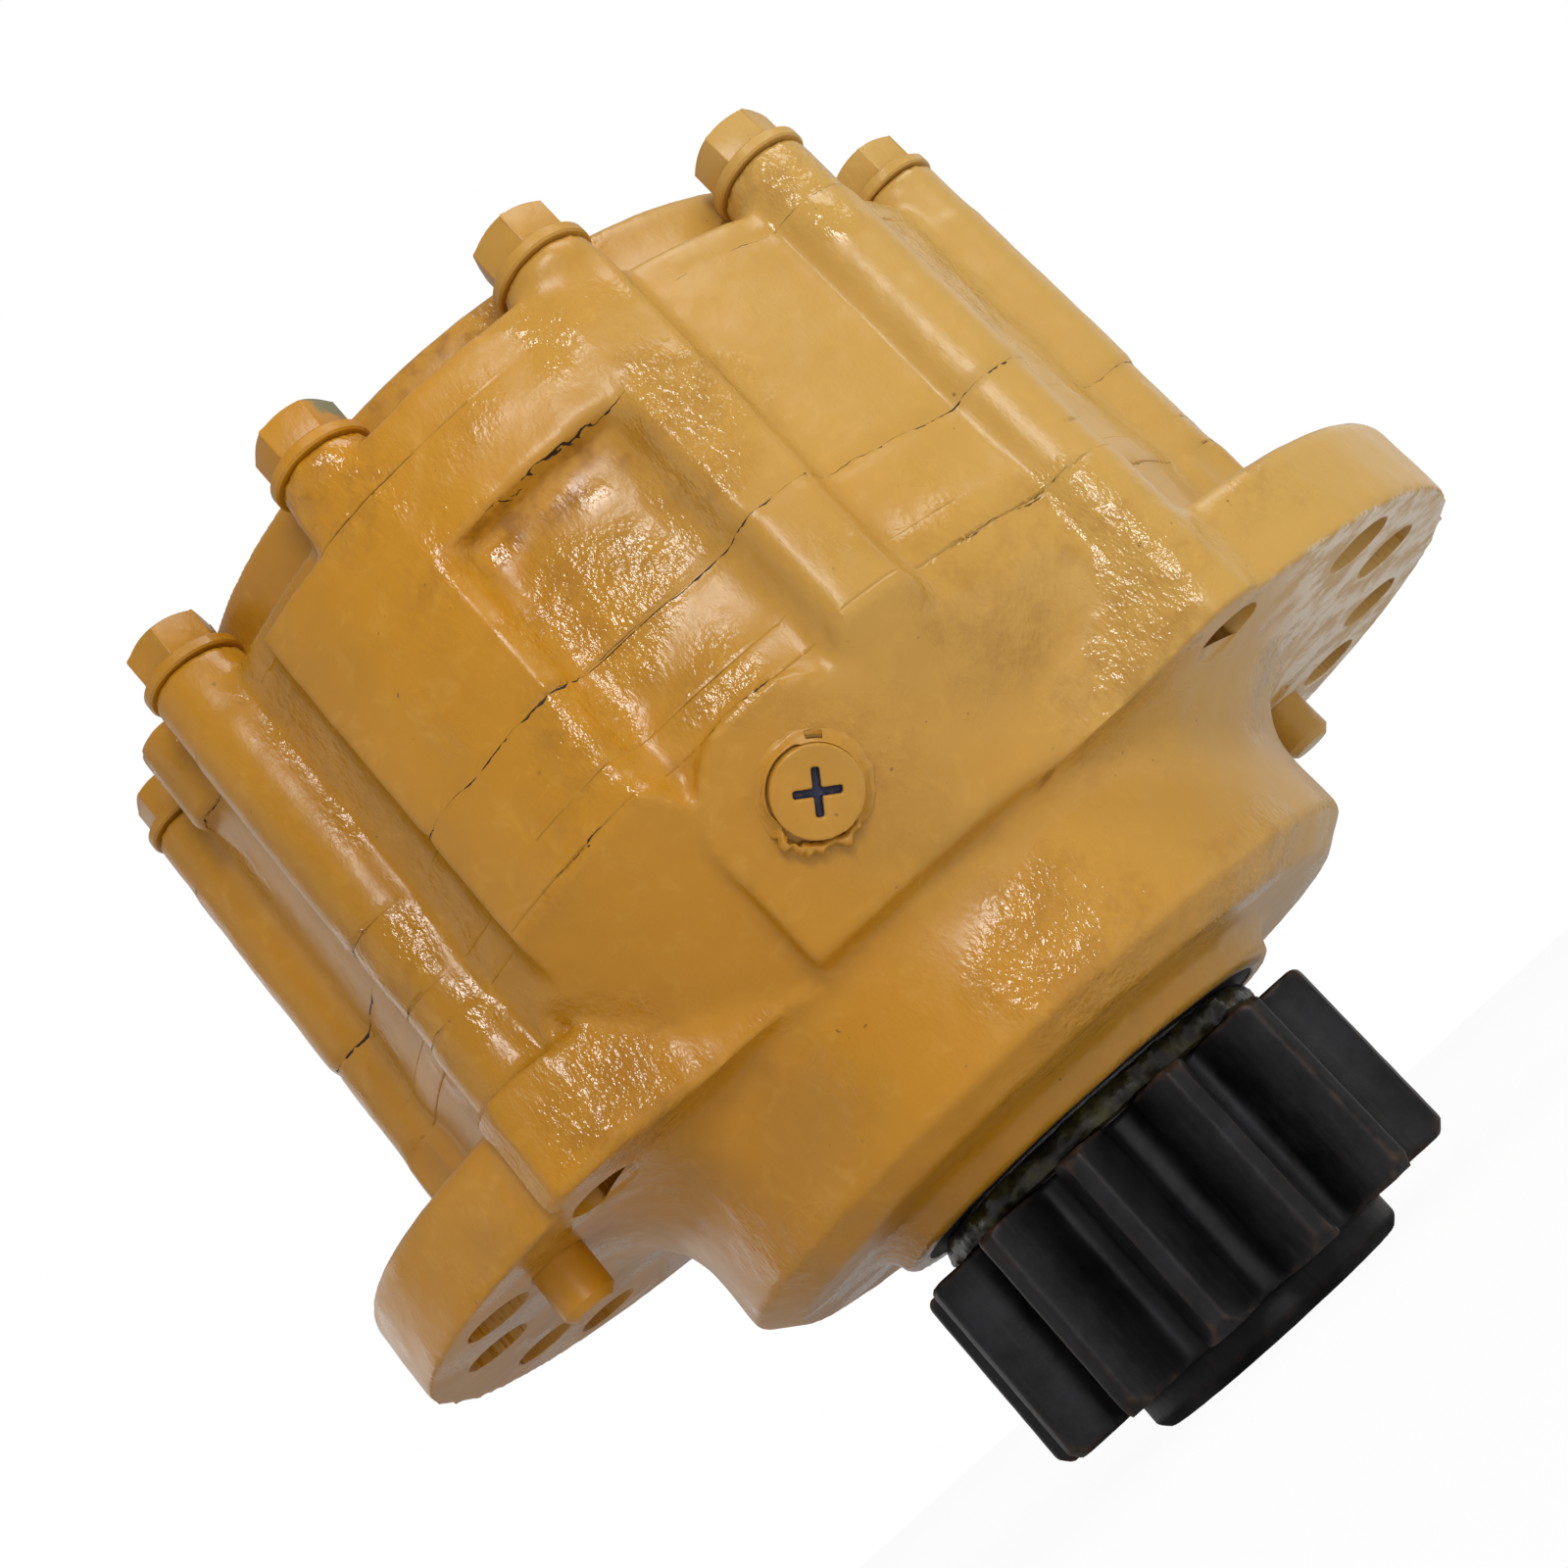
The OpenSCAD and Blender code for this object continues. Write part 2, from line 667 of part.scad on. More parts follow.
module flange_housing() color(enamel) difference() {
  union() {
    nose();
    flange_plate();
    low_body();
    port_boss();
  }
  translate([0, 0, z_up_bearing]) cylinder(r = up_outer_r, h = low_h, $fn = round_fn);
  translate([0, 0, z_low_bearing]) cylinder(r = low_outer_r, h = low_bearing_w, $fn = round_fn);
  translate([0, 0, z_seal_bore - eps])
    cylinder(r = shoulder_r, h = z_up_bearing - z_seal_bore + 2 * eps, $fn = round_fn);
  translate([0, 0, -2 * boss_drop])
    cylinder(r = seal_bore_r, h = 2 * boss_drop + z_seal_bore, $fn = round_fn);
  bolt_holes(bolt_r + thread_gap, low_h - tapped_depth, low_h, long_bolts);
  at_ears(near_hole_at, near_hole_turn) ear_hole();
  at_ears(far_hole_at, far_hole_turn) ear_hole();
  at_ears(jack_hole_at, jack_hole_turn)
    translate([0, 0, -eps]) cylinder(r = jack_hole_r, h = jack_hole_depth + eps, $fn = small_fn);
  at_dowels() translate([0, 0, -eps]) cylinder(r = dowel_r + dowel_seat, h = dowel_in + eps, $fn = small_fn);
  oring_groove(low_h);
  on_port() translate([0, port_rise, -port_depth]) cylinder(r = port_r, h = 2 * port_depth, $fn = small_fn);
  on_port() translate([0, port_rise, 0]) cylinder(r = plug_washer_r + port_spot, h = port_depth, $fn = small_fn);
  drain_hole(z_plate - plate_t, 2 * plate_t);
}

module ear_hole() {
  translate([0, 0, -eps]) cylinder(r = flange_hole_r, h = low_h, $fn = small_fn);
  translate([0, 0, flange_t - spot_depth]) cylinder(r = spot_r, h = low_h, $fn = small_fn);
}

// Drilling from the gear space down into the oil port.
module drain_hole(z, h) {
  drain_y = -port_foot_y - port_rise * sin(port_lean) + (port_depth - port_r) * cos(port_lean);
  translate([0, drain_y, z]) cylinder(r = drain_r, h = h, $fn = small_fn);
}

module retainer_plate() color(enamel) difference() {
  translate([0, 0, z_plate]) linear_extrude(plate_t) {
    plan(plate_r, mid_lobe_r);
    front_pad();
  }
  translate([0, 0, z_plate - eps]) cylinder(r = plate_bore_r, h = 2 * plate_t, $fn = round_fn);
  bolt_holes(bolt_clear_r, z_plate - eps, 2 * plate_t, long_bolts);
  oring_groove(z_spacer);
  drain_hole(z_plate - eps, 2 * plate_t);
}

module spacer_housing() color(enamel) difference() {
  translate([0, 0, z_spacer]) linear_extrude(spacer_h) {
    plan(wall_r, mid_lobe_r);
    front_pad();
  }
  translate([0, 0, z_spacer - eps]) cylinder(r = bore_r, h = 2 * spacer_h, $fn = round_fn);
  bolt_holes(bolt_clear_r, z_spacer - eps, 2 * spacer_h, long_bolts);
  bolt_holes(bolt_r + thread_gap, z_spacer - eps, 2 * spacer_h, short_bolts);
  oring_groove(z_ring);
}

module ring_gear_housing() color(enamel) difference() {
  union() {
    translate([0, 0, z_ring]) linear_extrude(ring_h) {
      plan(wall_r, ring_lobe_r);
      front_pad();
    }
    translate([0, 0, z_cover - lip_h]) linear_extrude(lip_h) front_panel();
  }
  rotate([0, 0, tooth_step / 2]) translate([0, 0, z_ring - eps]) linear_extrude(ring_h + 2 * eps)
    polygon(gear_points(ring_teeth, gear_module, 0, ring_root_r, ring_pitch_r - gear_module, ring_slack,
      ring_steps));
  bolt_holes(bolt_clear_r, z_ring - eps, 2 * ring_h);
  oring_groove(z_cover);
}

module top_cover() color(enamel) difference() {
  union() {
    rotate_extrude($fn = round_fn) polygon(concat(
      [[0, z_cover], [wall_r, z_cover], [wall_r, z_skirt - rim_bevel], [wall_r - rim_bevel, z_skirt]],
      arc_points(rim_r + rim_h / 2, z_skirt + rim_h / 2, rim_h / 2, 270, 180, arc_steps),
      [[rim_r, z_rim - rim_bevel], [rim_r - rim_bevel, z_rim], [0, z_rim]]
    ));
    translate([0, 0, z_cover]) linear_extrude(cover_h) lobes(cover_lobe_r);
    translate([0, 0, z_seat - panel_drop]) linear_extrude(panel_drop)
      at_bolts(front_bolts) circle(r = cover_lobe_r, $fn = small_fn);
    translate([0, 0, z_cover]) linear_extrude(cover_h - panel_drop) front_panel();
    rotate([0, 0, front_turn - side_boss_turn]) translate([side_boss_at, 0, z_cover])
      cylinder(r = side_boss_r, h = cover_h + side_boss_rise, $fn = small_fn);
  }
  translate([0, 0, z_cover - eps]) cylinder(r = cavity_r, h = cavity_h + eps, $fn = round_fn);
  translate([0, 0, z_cover]) cylinder(r = mouth_r, h = 2 * ring_h, $fn = round_fn);
  translate([0, 0, z_rim - pilot_depth]) cylinder(r = pilot_r, h = 2 * pilot_depth, $fn = round_fn);
  translate([0, 0, z_rim - face_groove_d])
    ring(face_groove_r + face_groove_w / 2, face_groove_r - face_groove_w / 2, 2 * face_groove_d);
  turned(motor_holes, 360 / motor_holes) translate([motor_circle_r, 0, z_rim - motor_hole_depth])
    cylinder(r = motor_hole_r, h = 2 * motor_hole_depth, $fn = small_fn);
  bolt_holes(bolt_clear_r, z_cover - eps, ring_h);
}

module body_bolt(z_end) {
  translate([0, 0, z_end]) cylinder(r = bolt_r, h = z_seat + washer_t + eps - z_end, $fn = small_fn);
  translate([0, 0, z_seat + washer_t]) intersection() {
    rotate([0, 0, -bolt_step / 2]) cylinder(r = bolt_head_w / 2 / cos(30), h = bolt_head_h, $fn = 6);
    rotate_extrude($fn = small_fn) polygon([
      [0, 0], [bolt_head_w, 0], [bolt_head_w, bolt_head_h - bolt_head_w / 2 * tan(bolt_head_lean)],
      [bolt_head_w / 2, bolt_head_h], [0, bolt_head_h]
    ]);
  }
}

module body_bolts() color(enamel) {
  at_bolts(long_bolts) body_bolt(low_h - bolt_grip);
  at_bolts(short_bolts) body_bolt(z_ring - short_grip);
}

module bolt_washers() color(enamel)
  at_bolts() translate([0, 0, z_seat]) ring(washer_r, bolt_clear_r, washer_t);

module body_orings() color(rubber) {
  for (z = [z_plate, z_spacer, z_ring, z_cover])
    translate([0, 0, z - oring_t / 2]) rotate_extrude($fn = round_fn)
      translate([oring_at, 0]) circle(r = oring_t / 2 - eps, $fn = small_fn);
}

module locating_dowels() color(steel) at_dowels() rotate_extrude($fn = small_fn) polygon([
  [0, -dowel_out], [dowel_r - dowel_bevel, -dowel_out], [dowel_r, -dowel_out + dowel_bevel],
  [dowel_r, 0], [dowel_r + dowel_seat, 0], [dowel_r + dowel_seat, dowel_in - dowel_bevel],
  [dowel_r - dowel_bevel, dowel_in - eps], [0, dowel_in - eps]
]);

module oil_plug() color(enamel) on_port() translate([0, port_rise, 0]) difference() {
  union() {
    translate([0, 0, plug_washer_t]) cylinder(r = plug_head_r, h = plug_head_h, $fn = small_fn);
    translate([0, 0, plug_washer_t - plug_thread])
      cylinder(r = port_r - thread_gap, h = plug_thread + eps, $fn = small_fn);
  }
  for (turn = [plug_turn, plug_turn + 90])
    rotate([0, 0, turn])
      translate([-plug_slot_l / 2, -plug_slot_w / 2, plug_washer_t + plug_head_h - plug_slot_w])
        cube([plug_slot_l, plug_slot_w, 2 * plug_slot_w]);
}

module oil_plug_washer() color(bronze) on_port() translate([0, port_rise, 0])
  ring(plug_washer_r, port_r + thread_gap, plug_washer_t);

module lip_seal(w) {
  lip_r = sleeve_r + run;
  rotate_extrude($fn = round_fn) polygon([
    [seal_bore_r, 0], [seal_bore_r, w], [seal_bore_r - seal_wall, w], [seal_bore_r - seal_wall, seal_wall],
    [lip_r + seal_wall, seal_wall], [lip_r + seal_wall, w - seal_wall / 2],
    [lip_r + seal_wall / 4, w - seal_wall / 2], [lip_r, w / 2], [lip_r + seal_wall / 2, 0]
  ]);
}

module shaft_seal() color(rubber) translate([0, 0, z_seal_bore - seal_w - step_gap]) lip_seal(seal_w);

module dust_seal() color(rubber) translate([0, 0, -boss_drop + step_gap]) lip_seal(dust_seal_w);

module low_outer_ring() color(steel) translate([0, 0, z_low_bearing])
  ring(low_outer_r, low_outer_r - low_ring_t, low_bearing_w);

module up_outer_ring() color(steel) translate([0, 0, z_up_bearing])
  ring(up_outer_r, up_outer_r - up_ring_t, up_bearing_w);

module pinion_shaft() color(dark_steel) difference() {
  union() {
    rotate_extrude($fn = round_fn) polygon([
      [0, z_hub], [hub_r - hub_bevel, z_hub], [hub_r, z_hub + hub_bevel], [hub_r, z_pinion + eps],
      [low_seat_r, z_pinion + eps], [low_seat_r, 0], [waist_r, 0], [waist_r, z_up_bearing - step_gap],
      [up_seat_r, z_up_bearing - step_gap], [up_seat_r, low_h], [thread_r, low_h], [thread_r, low_h + plate_t],
      [spline_r - spline_d, low_h + plate_t], [spline_r - spline_d, z_shaft_top], [0, z_shaft_top]
    ]);
    intersection() {
      rotate([0, 0, pinion_rest]) translate([0, 0, z_pinion]) linear_extrude(pinion_w)
        polygon(gear_points(pinion_teeth, pinion_module, pinion_shift, pinion_r, pinion_root_r, 0,
          flank_steps));
      translate([0, 0, z_pinion]) rotate_extrude($fn = round_fn) polygon([
        [0, 0], [pinion_r - pinion_tip_bevel, 0], [pinion_r, pinion_tip_bevel],
        [pinion_r, pinion_w - pinion_tip_bevel / 2], [pinion_r - pinion_tip_bevel / 2, pinion_w],
        [0, pinion_w]
      ]);
    }
    translate([0, 0, low_h + plate_t]) linear_extrude(z_shaft_top - low_h - plate_t)
      polygon(spline_points(spline_n, spline_r, spline_d, 0));
  }
  translate([0, 0, z_hub - eps]) cylinder(r = centre_hole_r, h = centre_hole_d, $fn = small_fn);
  turned(planets, planet_turn) translate([end_screw_at, 0, z_shaft_top - end_screw_l])
    cylinder(r = end_screw_r + thread_gap, h = 2 * end_screw_l, $fn = small_fn);
}

module seal_sleeve() color(steel) translate([0, 0, -pinion_top_drop])
  ring(sleeve_r, low_seat_r, pinion_top_drop - low_bearing_w);

module low_inner_ring() color(steel) translate([0, 0, z_low_bearing])
  ring(low_seat_r + low_ring_t, low_seat_r, low_bearing_w);

module bearing_spacer() color(steel) ring(low_seat_r + low_ring_t / 2, waist_r + step_gap, gap_w);

module up_inner_ring() color(steel) translate([0, 0, z_up_bearing])
  ring(up_seat_r + up_ring_t, up_seat_r, up_bearing_w);

module bearing_nut() color(steel) difference() {
  translate([0, 0, low_h]) ring(nut_r, thread_r + thread_gap, nut_t);
  turned(nut_slots, 360 / nut_slots)
    translate([nut_r - nut_slot_w / 2, -nut_slot_w / 2, low_h - eps])
      cube([nut_slot_w, nut_slot_w, 2 * nut_t]);
}

module roller_cage(inner_track, outer_track, w, count) {
  mid_r = (inner_track + outer_track) / 2;
  roller_r = (outer_track - inner_track) / 2 - run;
  turned(count, 360 / count) translate([mid_r, 0, shaft_bevel])
    cylinder(r = roller_r, h = w - 2 * shaft_bevel, $fn = small_fn);
  for (z = [shaft_bevel * 2, w - shaft_bevel * 3])
    translate([0, 0, z]) ring(mid_r + roller_r * cage_share, mid_r - roller_r * cage_share, shaft_bevel);
}

module low_rollers_cage() color(bronze) translate([0, 0, z_low_bearing])
  roller_cage(low_seat_r + low_ring_t, low_outer_r - low_ring_t, low_bearing_w, low_rollers);

module up_rollers_cage() color(bronze) translate([0, 0, z_up_bearing])
  roller_cage(up_seat_r + up_ring_t, up_outer_r - up_ring_t, up_bearing_w, up_rollers);

module carrier_b() color(dark_steel) difference() {
  union() {
    translate([0, 0, z_carrier_b]) cylinder(r = carrier_b_r, h = carrier_b_t, $fn = round_fn);
    translate([0, 0, z_carrier_b + carrier_b_t - eps])
      linear_extrude(z_carrier_b_top - z_carrier_b - carrier_b_t + 2 * eps) difference() {
        circle(r = carrier_b_r - web_gap, $fn = round_fn);
        circle(r = web_in_r, $fn = round_fn);
        rotate([0, 0, turn_b]) turned(planets, planet_turn) translate([orbit_b, 0])
          circle(r = planet_b_r + gear_module + web_gap, $fn = round_fn);
      }
    translate([0, 0, z_carrier_b_top]) ring(carrier_b_r, web_in_r, carrier_b_top_t);
  }
  translate([0, 0, z_carrier_b - eps]) linear_extrude(2 * carrier_b_t)
    polygon(spline_points(spline_n, spline_r, spline_d, spline_gap));
  translate([0, 0, z_shaft_top]) cylinder(r = spline_r + plate_t / 2, h = carrier_b_t, $fn = round_fn);
  rotate([0, 0, turn_b]) turned(planets, planet_turn) translate([orbit_b, 0, z_carrier_b + shaft_bevel])
    cylinder(r = pin_b_r, h = ring_h, $fn = small_fn);
}

module pin(r, z0, z1) {
  translate([0, 0, z0]) rotate_extrude($fn = small_fn) polygon([
    [0, 0], [r - pin_bevel, 0], [r, pin_bevel], [r, z1 - z0 - pin_bevel], [r - pin_bevel, z1 - z0],
    [0, z1 - z0]
  ]);
}

module pins_b() color(steel) rotate([0, 0, turn_b]) turned(planets, planet_turn) translate([orbit_b, 0, 0])
  pin(pin_b_r, z_carrier_b + shaft_bevel, z_carrier_b_top + carrier_b_top_t - pin_bevel);

module thrust_pair(orbit, pin_r, z0, z1) {
  turned(planets, planet_turn) translate([orbit, 0, 0]) {
    translate([0, 0, z0]) ring(pin_r + thrust_w, pin_r + thread_gap, thrust_t);
    translate([0, 0, z1]) ring(pin_r + thrust_w, pin_r + thread_gap, thrust_t);
  }
}

module thrust_b() color(bronze) rotate([0, 0, turn_b])
  thrust_pair(orbit_b, pin_b_r, z_carrier_b + carrier_b_t, z_carrier_b_top - thrust_t);

module end_plate() color(steel) translate([0, 0, z_shaft_top]) difference() {
  cylinder(r = spline_r + plate_t / 2 - thread_gap, h = end_plate_t, $fn = round_fn);
  turned(planets, planet_turn) translate([end_screw_at, 0, -eps])
    cylinder(r = end_screw_r + thread_gap, h = 2 * end_plate_t, $fn = small_fn);
  turned(planets, planet_turn) translate([end_screw_at, 0, end_plate_t / 2])
    cylinder(r = end_screw_head_r + thread_gap, h = end_plate_t, $fn = small_fn);
}

module end_screws() color(dark_steel) turned(planets, planet_turn) translate([end_screw_at, 0, z_shaft_top]) {
  translate([0, 0, pin_bevel - end_screw_l])
    cylinder(r = end_screw_r, h = end_screw_l - pin_bevel + end_plate_t / 2 + eps, $fn = small_fn);
  translate([0, 0, end_plate_t / 2]) cylinder(r = end_screw_head_r, h = end_plate_t / 2, $fn = small_fn);
}

module planet(teeth, w, pin_r) {
  pitch_r = gear_module * teeth / 2;
  difference() {
    linear_extrude(w) polygon(gear_points(teeth, gear_module, 0, pitch_r + gear_module,
      pitch_r - root_share * gear_module, -backlash, ring_steps));
    translate([0, 0, -eps]) cylinder(r = pin_r + run + needle_t, h = w + 2 * eps, $fn = small_fn);
  }
}

module needles(w, pin_r) {
  turned(needle_n, 360 / needle_n) translate([pin_r + run + needle_t / 2, 0, shaft_bevel / 2])
    cylinder(r = needle_t / 2 - eps, h = w - shaft_bevel, $fn = round_fn / 4);
  for (z = [shaft_bevel, w - 2 * shaft_bevel])
    translate([0, 0, z]) ring(pin_r + run + needle_t * (1 + cage_share) / 2,
      pin_r + run + needle_t * (1 - cage_share) / 2, shaft_bevel);
}

module place_a(i) rotate([0, 0, i * planet_turn]) translate([orbit_a, 0, z_planet_a]) children();

module place_b(i) rotate([0, 0, turn_b + i * planet_turn]) translate([orbit_b, 0, z_planet_b]) children();

// A planet's tooth gap faces the sun, so the planet is turned by half a tooth from there.
function mesh_turn(teeth) = 180 + 180 / teeth;

module planet_a(i) color(dark_steel) place_a(i) rotate([0, 0, mesh_turn(planet_a_teeth)])
  planet(planet_a_teeth, planet_a_w, pin_a_r);

module planet_b(i) color(dark_steel) place_b(i) rotate([0, 0, mesh_turn(planet_b_teeth)])
  planet(planet_b_teeth, planet_b_w, pin_b_r);

module needles_a(i) color(steel) place_a(i) needles(planet_a_w, pin_a_r);

module needles_b(i) color(steel) place_b(i) needles(planet_b_w, pin_b_r);

module planet_a1() planet_a(0);
module planet_a2() planet_a(1);
module planet_a3() planet_a(2);
module planet_b1() planet_b(0);
module planet_b2() planet_b(1);
module planet_b3() planet_b(2);
module needles_a1() needles_a(0);
module needles_a2() needles_a(1);
module needles_a3() needles_a(2);
module needles_b1() needles_b(0);
module needles_b2() needles_b(1);
module needles_b3() needles_b(2);

module sun_b() color(dark_steel) {
  rotate([0, 0, turn_b]) translate([0, 0, z_planet_b]) linear_extrude(planet_b_w)
    polygon(gear_points(sun_b_teeth, gear_module, 0, sun_b_r + gear_module,
      sun_b_r - root_share * gear_module, -backlash, ring_steps));
  translate([0, 0, z_planet_b + planet_b_w - eps])
    cylinder(r = shank_r - spline_d, h = z_carrier_b_top - z_planet_b - planet_b_w + 2 * eps, $fn = round_fn);
  translate([0, 0, z_carrier_b_top]) linear_extrude(z_carrier_a + carrier_a_t - z_carrier_b_top)
    polygon(spline_points(spline_n, shank_r, spline_d, 0));
}

module carrier_a() color(dark_steel) difference() {
  union() {
    translate([0, 0, z_carrier_a]) cylinder(r = carrier_a_r, h = carrier_a_t, $fn = round_fn);
    translate([0, 0, z_carrier_b_top + pin_bevel])
      cylinder(r = shank_r + carrier_a_hub_t, h = z_carrier_a - z_carrier_b_top, $fn = round_fn);
  }
  translate([0, 0, z_carrier_b_top]) linear_extrude(ring_h)
    polygon(spline_points(spline_n, shank_r, spline_d, spline_gap));
  turned(planets, planet_turn) translate([orbit_a, 0, z_carrier_a + pin_bevel])
    cylinder(r = pin_a_r, h = ring_h, $fn = small_fn);
}

module pins_a() color(steel) turned(planets, planet_turn) translate([orbit_a, 0, 0]) difference() {
  pin(pin_a_r, z_carrier_a + pin_bevel, z_planet_a_top + side + thrust_t + circlip_t + circlip_w / 2);
  translate([0, 0, z_planet_a_top + side + thrust_t]) ring(2 * pin_a_r, pin_a_r - circlip_d, circlip_t);
}

module thrust_a() color(bronze)
  thrust_pair(orbit_a, pin_a_r, z_carrier_a + carrier_a_t, z_planet_a_top + side);

module circlips_a() color(steel) turned(planets, planet_turn)
  translate([orbit_a, 0, z_planet_a_top + side + thrust_t]) difference() {
    ring(pin_a_r + circlip_w - circlip_d, pin_a_r - circlip_d + eps, circlip_t - eps);
    translate([0, -circlip_w / 2, -circlip_t]) cube([2 * pin_a_r, circlip_w, 3 * circlip_t]);
  }

module sun_a() color(dark_steel) difference() {
  union() {
    translate([0, 0, z_planet_a]) linear_extrude(planet_a_w)
      polygon(gear_points(sun_a_teeth, gear_module, 0, sun_a_r + gear_module,
        sun_a_r - root_share * gear_module, -backlash, ring_steps));
    translate([0, 0, z_planet_a_top - eps]) rotate_extrude($fn = round_fn) polygon([
      [0, 0], [input_r, 0], [input_r, input_rise - pin_bevel], [input_r - pin_bevel, input_rise],
      [0, input_rise]
    ]);
  }
  translate([0, 0, z_planet_a + shaft_bevel * 2]) linear_extrude(2 * ring_h)
    polygon(spline_points(spline_n, input_bore_r, spline_d, 0));
}

module thrust_button() color(bronze) translate([0, 0, z_carrier_a + carrier_a_t])
  cylinder(r = shank_r / 2, h = thrust_t, $fn = small_fn);

flange_housing();
retainer_plate();
spacer_housing();
ring_gear_housing();
top_cover();
body_bolts();
bolt_washers();
body_orings();
locating_dowels();
oil_plug();
oil_plug_washer();
shaft_seal();
dust_seal();
low_outer_ring();
up_outer_ring();
pinion_shaft();
seal_sleeve();
low_inner_ring();
bearing_spacer();
up_inner_ring();
bearing_nut();
low_rollers_cage();
up_rollers_cage();
carrier_b();
pins_b();
thrust_b();
end_plate();
end_screws();
planet_b1();
planet_b2();
planet_b3();
needles_b1();
needles_b2();
needles_b3();
sun_b();
carrier_a();
pins_a();
thrust_a();
circlips_a();
planet_a1();
planet_a2();
planet_a3();
needles_a1();
needles_a2();
needles_a3();
sun_a();
thrust_button();
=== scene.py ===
"""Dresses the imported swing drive: thick enamel over rough castings, worn fasteners, an oiled pinion."""

import json
from math import cos, degrees, pi, radians, sin, tan

import bmesh
import bpy
import numpy as np
from bpy.props import FloatProperty, FloatVectorProperty, IntProperty, PointerProperty
from mathutils import Matrix, Vector, noise

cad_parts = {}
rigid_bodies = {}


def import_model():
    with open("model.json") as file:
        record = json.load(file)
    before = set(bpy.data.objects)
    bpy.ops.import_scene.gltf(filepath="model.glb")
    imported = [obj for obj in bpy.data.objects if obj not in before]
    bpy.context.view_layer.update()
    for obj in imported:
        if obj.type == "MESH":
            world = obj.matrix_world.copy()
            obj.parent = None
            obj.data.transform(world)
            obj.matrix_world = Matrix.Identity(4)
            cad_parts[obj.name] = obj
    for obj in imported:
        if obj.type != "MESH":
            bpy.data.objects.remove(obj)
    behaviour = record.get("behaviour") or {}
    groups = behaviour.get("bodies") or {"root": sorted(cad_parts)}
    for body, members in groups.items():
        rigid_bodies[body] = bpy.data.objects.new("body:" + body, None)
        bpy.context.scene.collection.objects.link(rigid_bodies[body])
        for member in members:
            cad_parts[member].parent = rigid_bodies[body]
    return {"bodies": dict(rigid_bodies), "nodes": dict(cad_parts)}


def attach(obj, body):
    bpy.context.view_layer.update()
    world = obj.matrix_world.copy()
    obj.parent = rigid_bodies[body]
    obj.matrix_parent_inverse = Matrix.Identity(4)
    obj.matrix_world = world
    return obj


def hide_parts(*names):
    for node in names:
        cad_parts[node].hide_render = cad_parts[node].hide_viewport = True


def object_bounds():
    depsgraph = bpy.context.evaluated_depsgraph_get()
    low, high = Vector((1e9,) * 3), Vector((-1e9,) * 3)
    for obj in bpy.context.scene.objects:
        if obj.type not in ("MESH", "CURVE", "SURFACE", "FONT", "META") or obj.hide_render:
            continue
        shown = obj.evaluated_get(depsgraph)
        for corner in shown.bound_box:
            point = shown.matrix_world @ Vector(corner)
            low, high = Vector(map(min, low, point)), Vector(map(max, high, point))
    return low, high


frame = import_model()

bl_info = {
    "name": "Swing Drive Finish",
    "version": (1, 0, 0),
    "blender": (4, 5, 0),
    "location": "View3D > Sidebar > Swing Drive",
    "description": "Builds the painted castings, fasteners and pinion of a planetary swing drive",
    "category": "Object",
}

NODES = frame["nodes"]
for leftover in set(bpy.data.objects) - set(NODES.values()) - set(frame["bodies"].values()):
    bpy.data.objects.remove(leftover)
CAD_BOX = [list(corner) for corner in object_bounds()]

MM = 0.001
ENAMEL = "brushed enamel over sand-cast iron"
# The shares that the enamel reads at each point of a painted piece.
SHARES = ("hollow_shade", "rough_cast", "gape", "dust", "missed")
HOUSINGS = ["flange_housing", "retainer_plate", "spacer_housing", "ring_gear_housing", "top_cover"]
# Heights at which the castings are bolted together, from the flange up, in mm.
JOINTS_MM = [57.0, 68.0, 92.5, 167.5]
# How deep the coat has sunk at each of them, in mm.
DENTS_MM = (0.3, 0.04, 0.35, 0.25)
# Height of the lip that hangs over the front pocket.
LIP_MM = 141.0
SEAT_MM = 189.0
RIM_MM = 206.0
# The ears' upper face, the distance of the flange's front wall from the axis, and half that wall's width.
EAR_TOP_MM = 31.5
WALL_MM = 118.0
WALL_HALF_MM = 104
NOSE_R_MM = 119.05
# Radius of the slabs that part pieces by height, beyond everything.
WIDE_MM = 400
# How far a plug stays under the face that it shuts.
UNDER_MM = 0.06
# Cracks in the coat along a joint or the lip: height in mm, from and to in degrees left (-) and right of the
# front, and half the width in mm.
CRACKS = [(92.5, -79, -58, 1.0), (92.5, -53, -44, 0.6), (92.5, -34, -27, 0.75), (92.5, -27, 48, 0.42),
          (92.5, 66, 80, 0.35), (92.5, 95, 150, 0.4), (92.5, 168, 235, 0.5), (57.0, -52, -41, 0.3),
          (57.0, -23, -15, 0.9), (57.0, -5, 6, 0.5), (57.0, 25, 45, 0.3), (57.0, 52, 60, 0.5),
          (57.0, 120, 140, 0.5), (167.5, -64, -54, 0.4), (167.5, 24, 28, 0.35), (167.5, 32, 47, 0.55),
          (167.5, 100, 125, 0.4), (68.0, 44, 50, 0.4), (68.0, -72, -66, 0.4), (LIP_MM, -7, 13, 0.22),
          (LIP_MM, -5, 1, 0.5)]
# The lamps: where they stand and how wide they are, in metres, and their share of the key light's power.
LAMPS = {"front": ((0.35, -1.75, 0.6), 0.42, 1.0), "fill": ((0.4, -1.6, 0.1), 1.0, 0.7),
         "above": ((1.2, -0.7, 1.5), 1.2, 1.35), "left": ((-1.6, -0.7, 0.5), 1.2, 0.15),
         "left card": ((-1.5, 1.2, 0.3), 1.6, 0.45), "right card": ((1.6, 1.0, 0.3), 1.6, 0.3)}
AIM = (0, 0, 0.03)
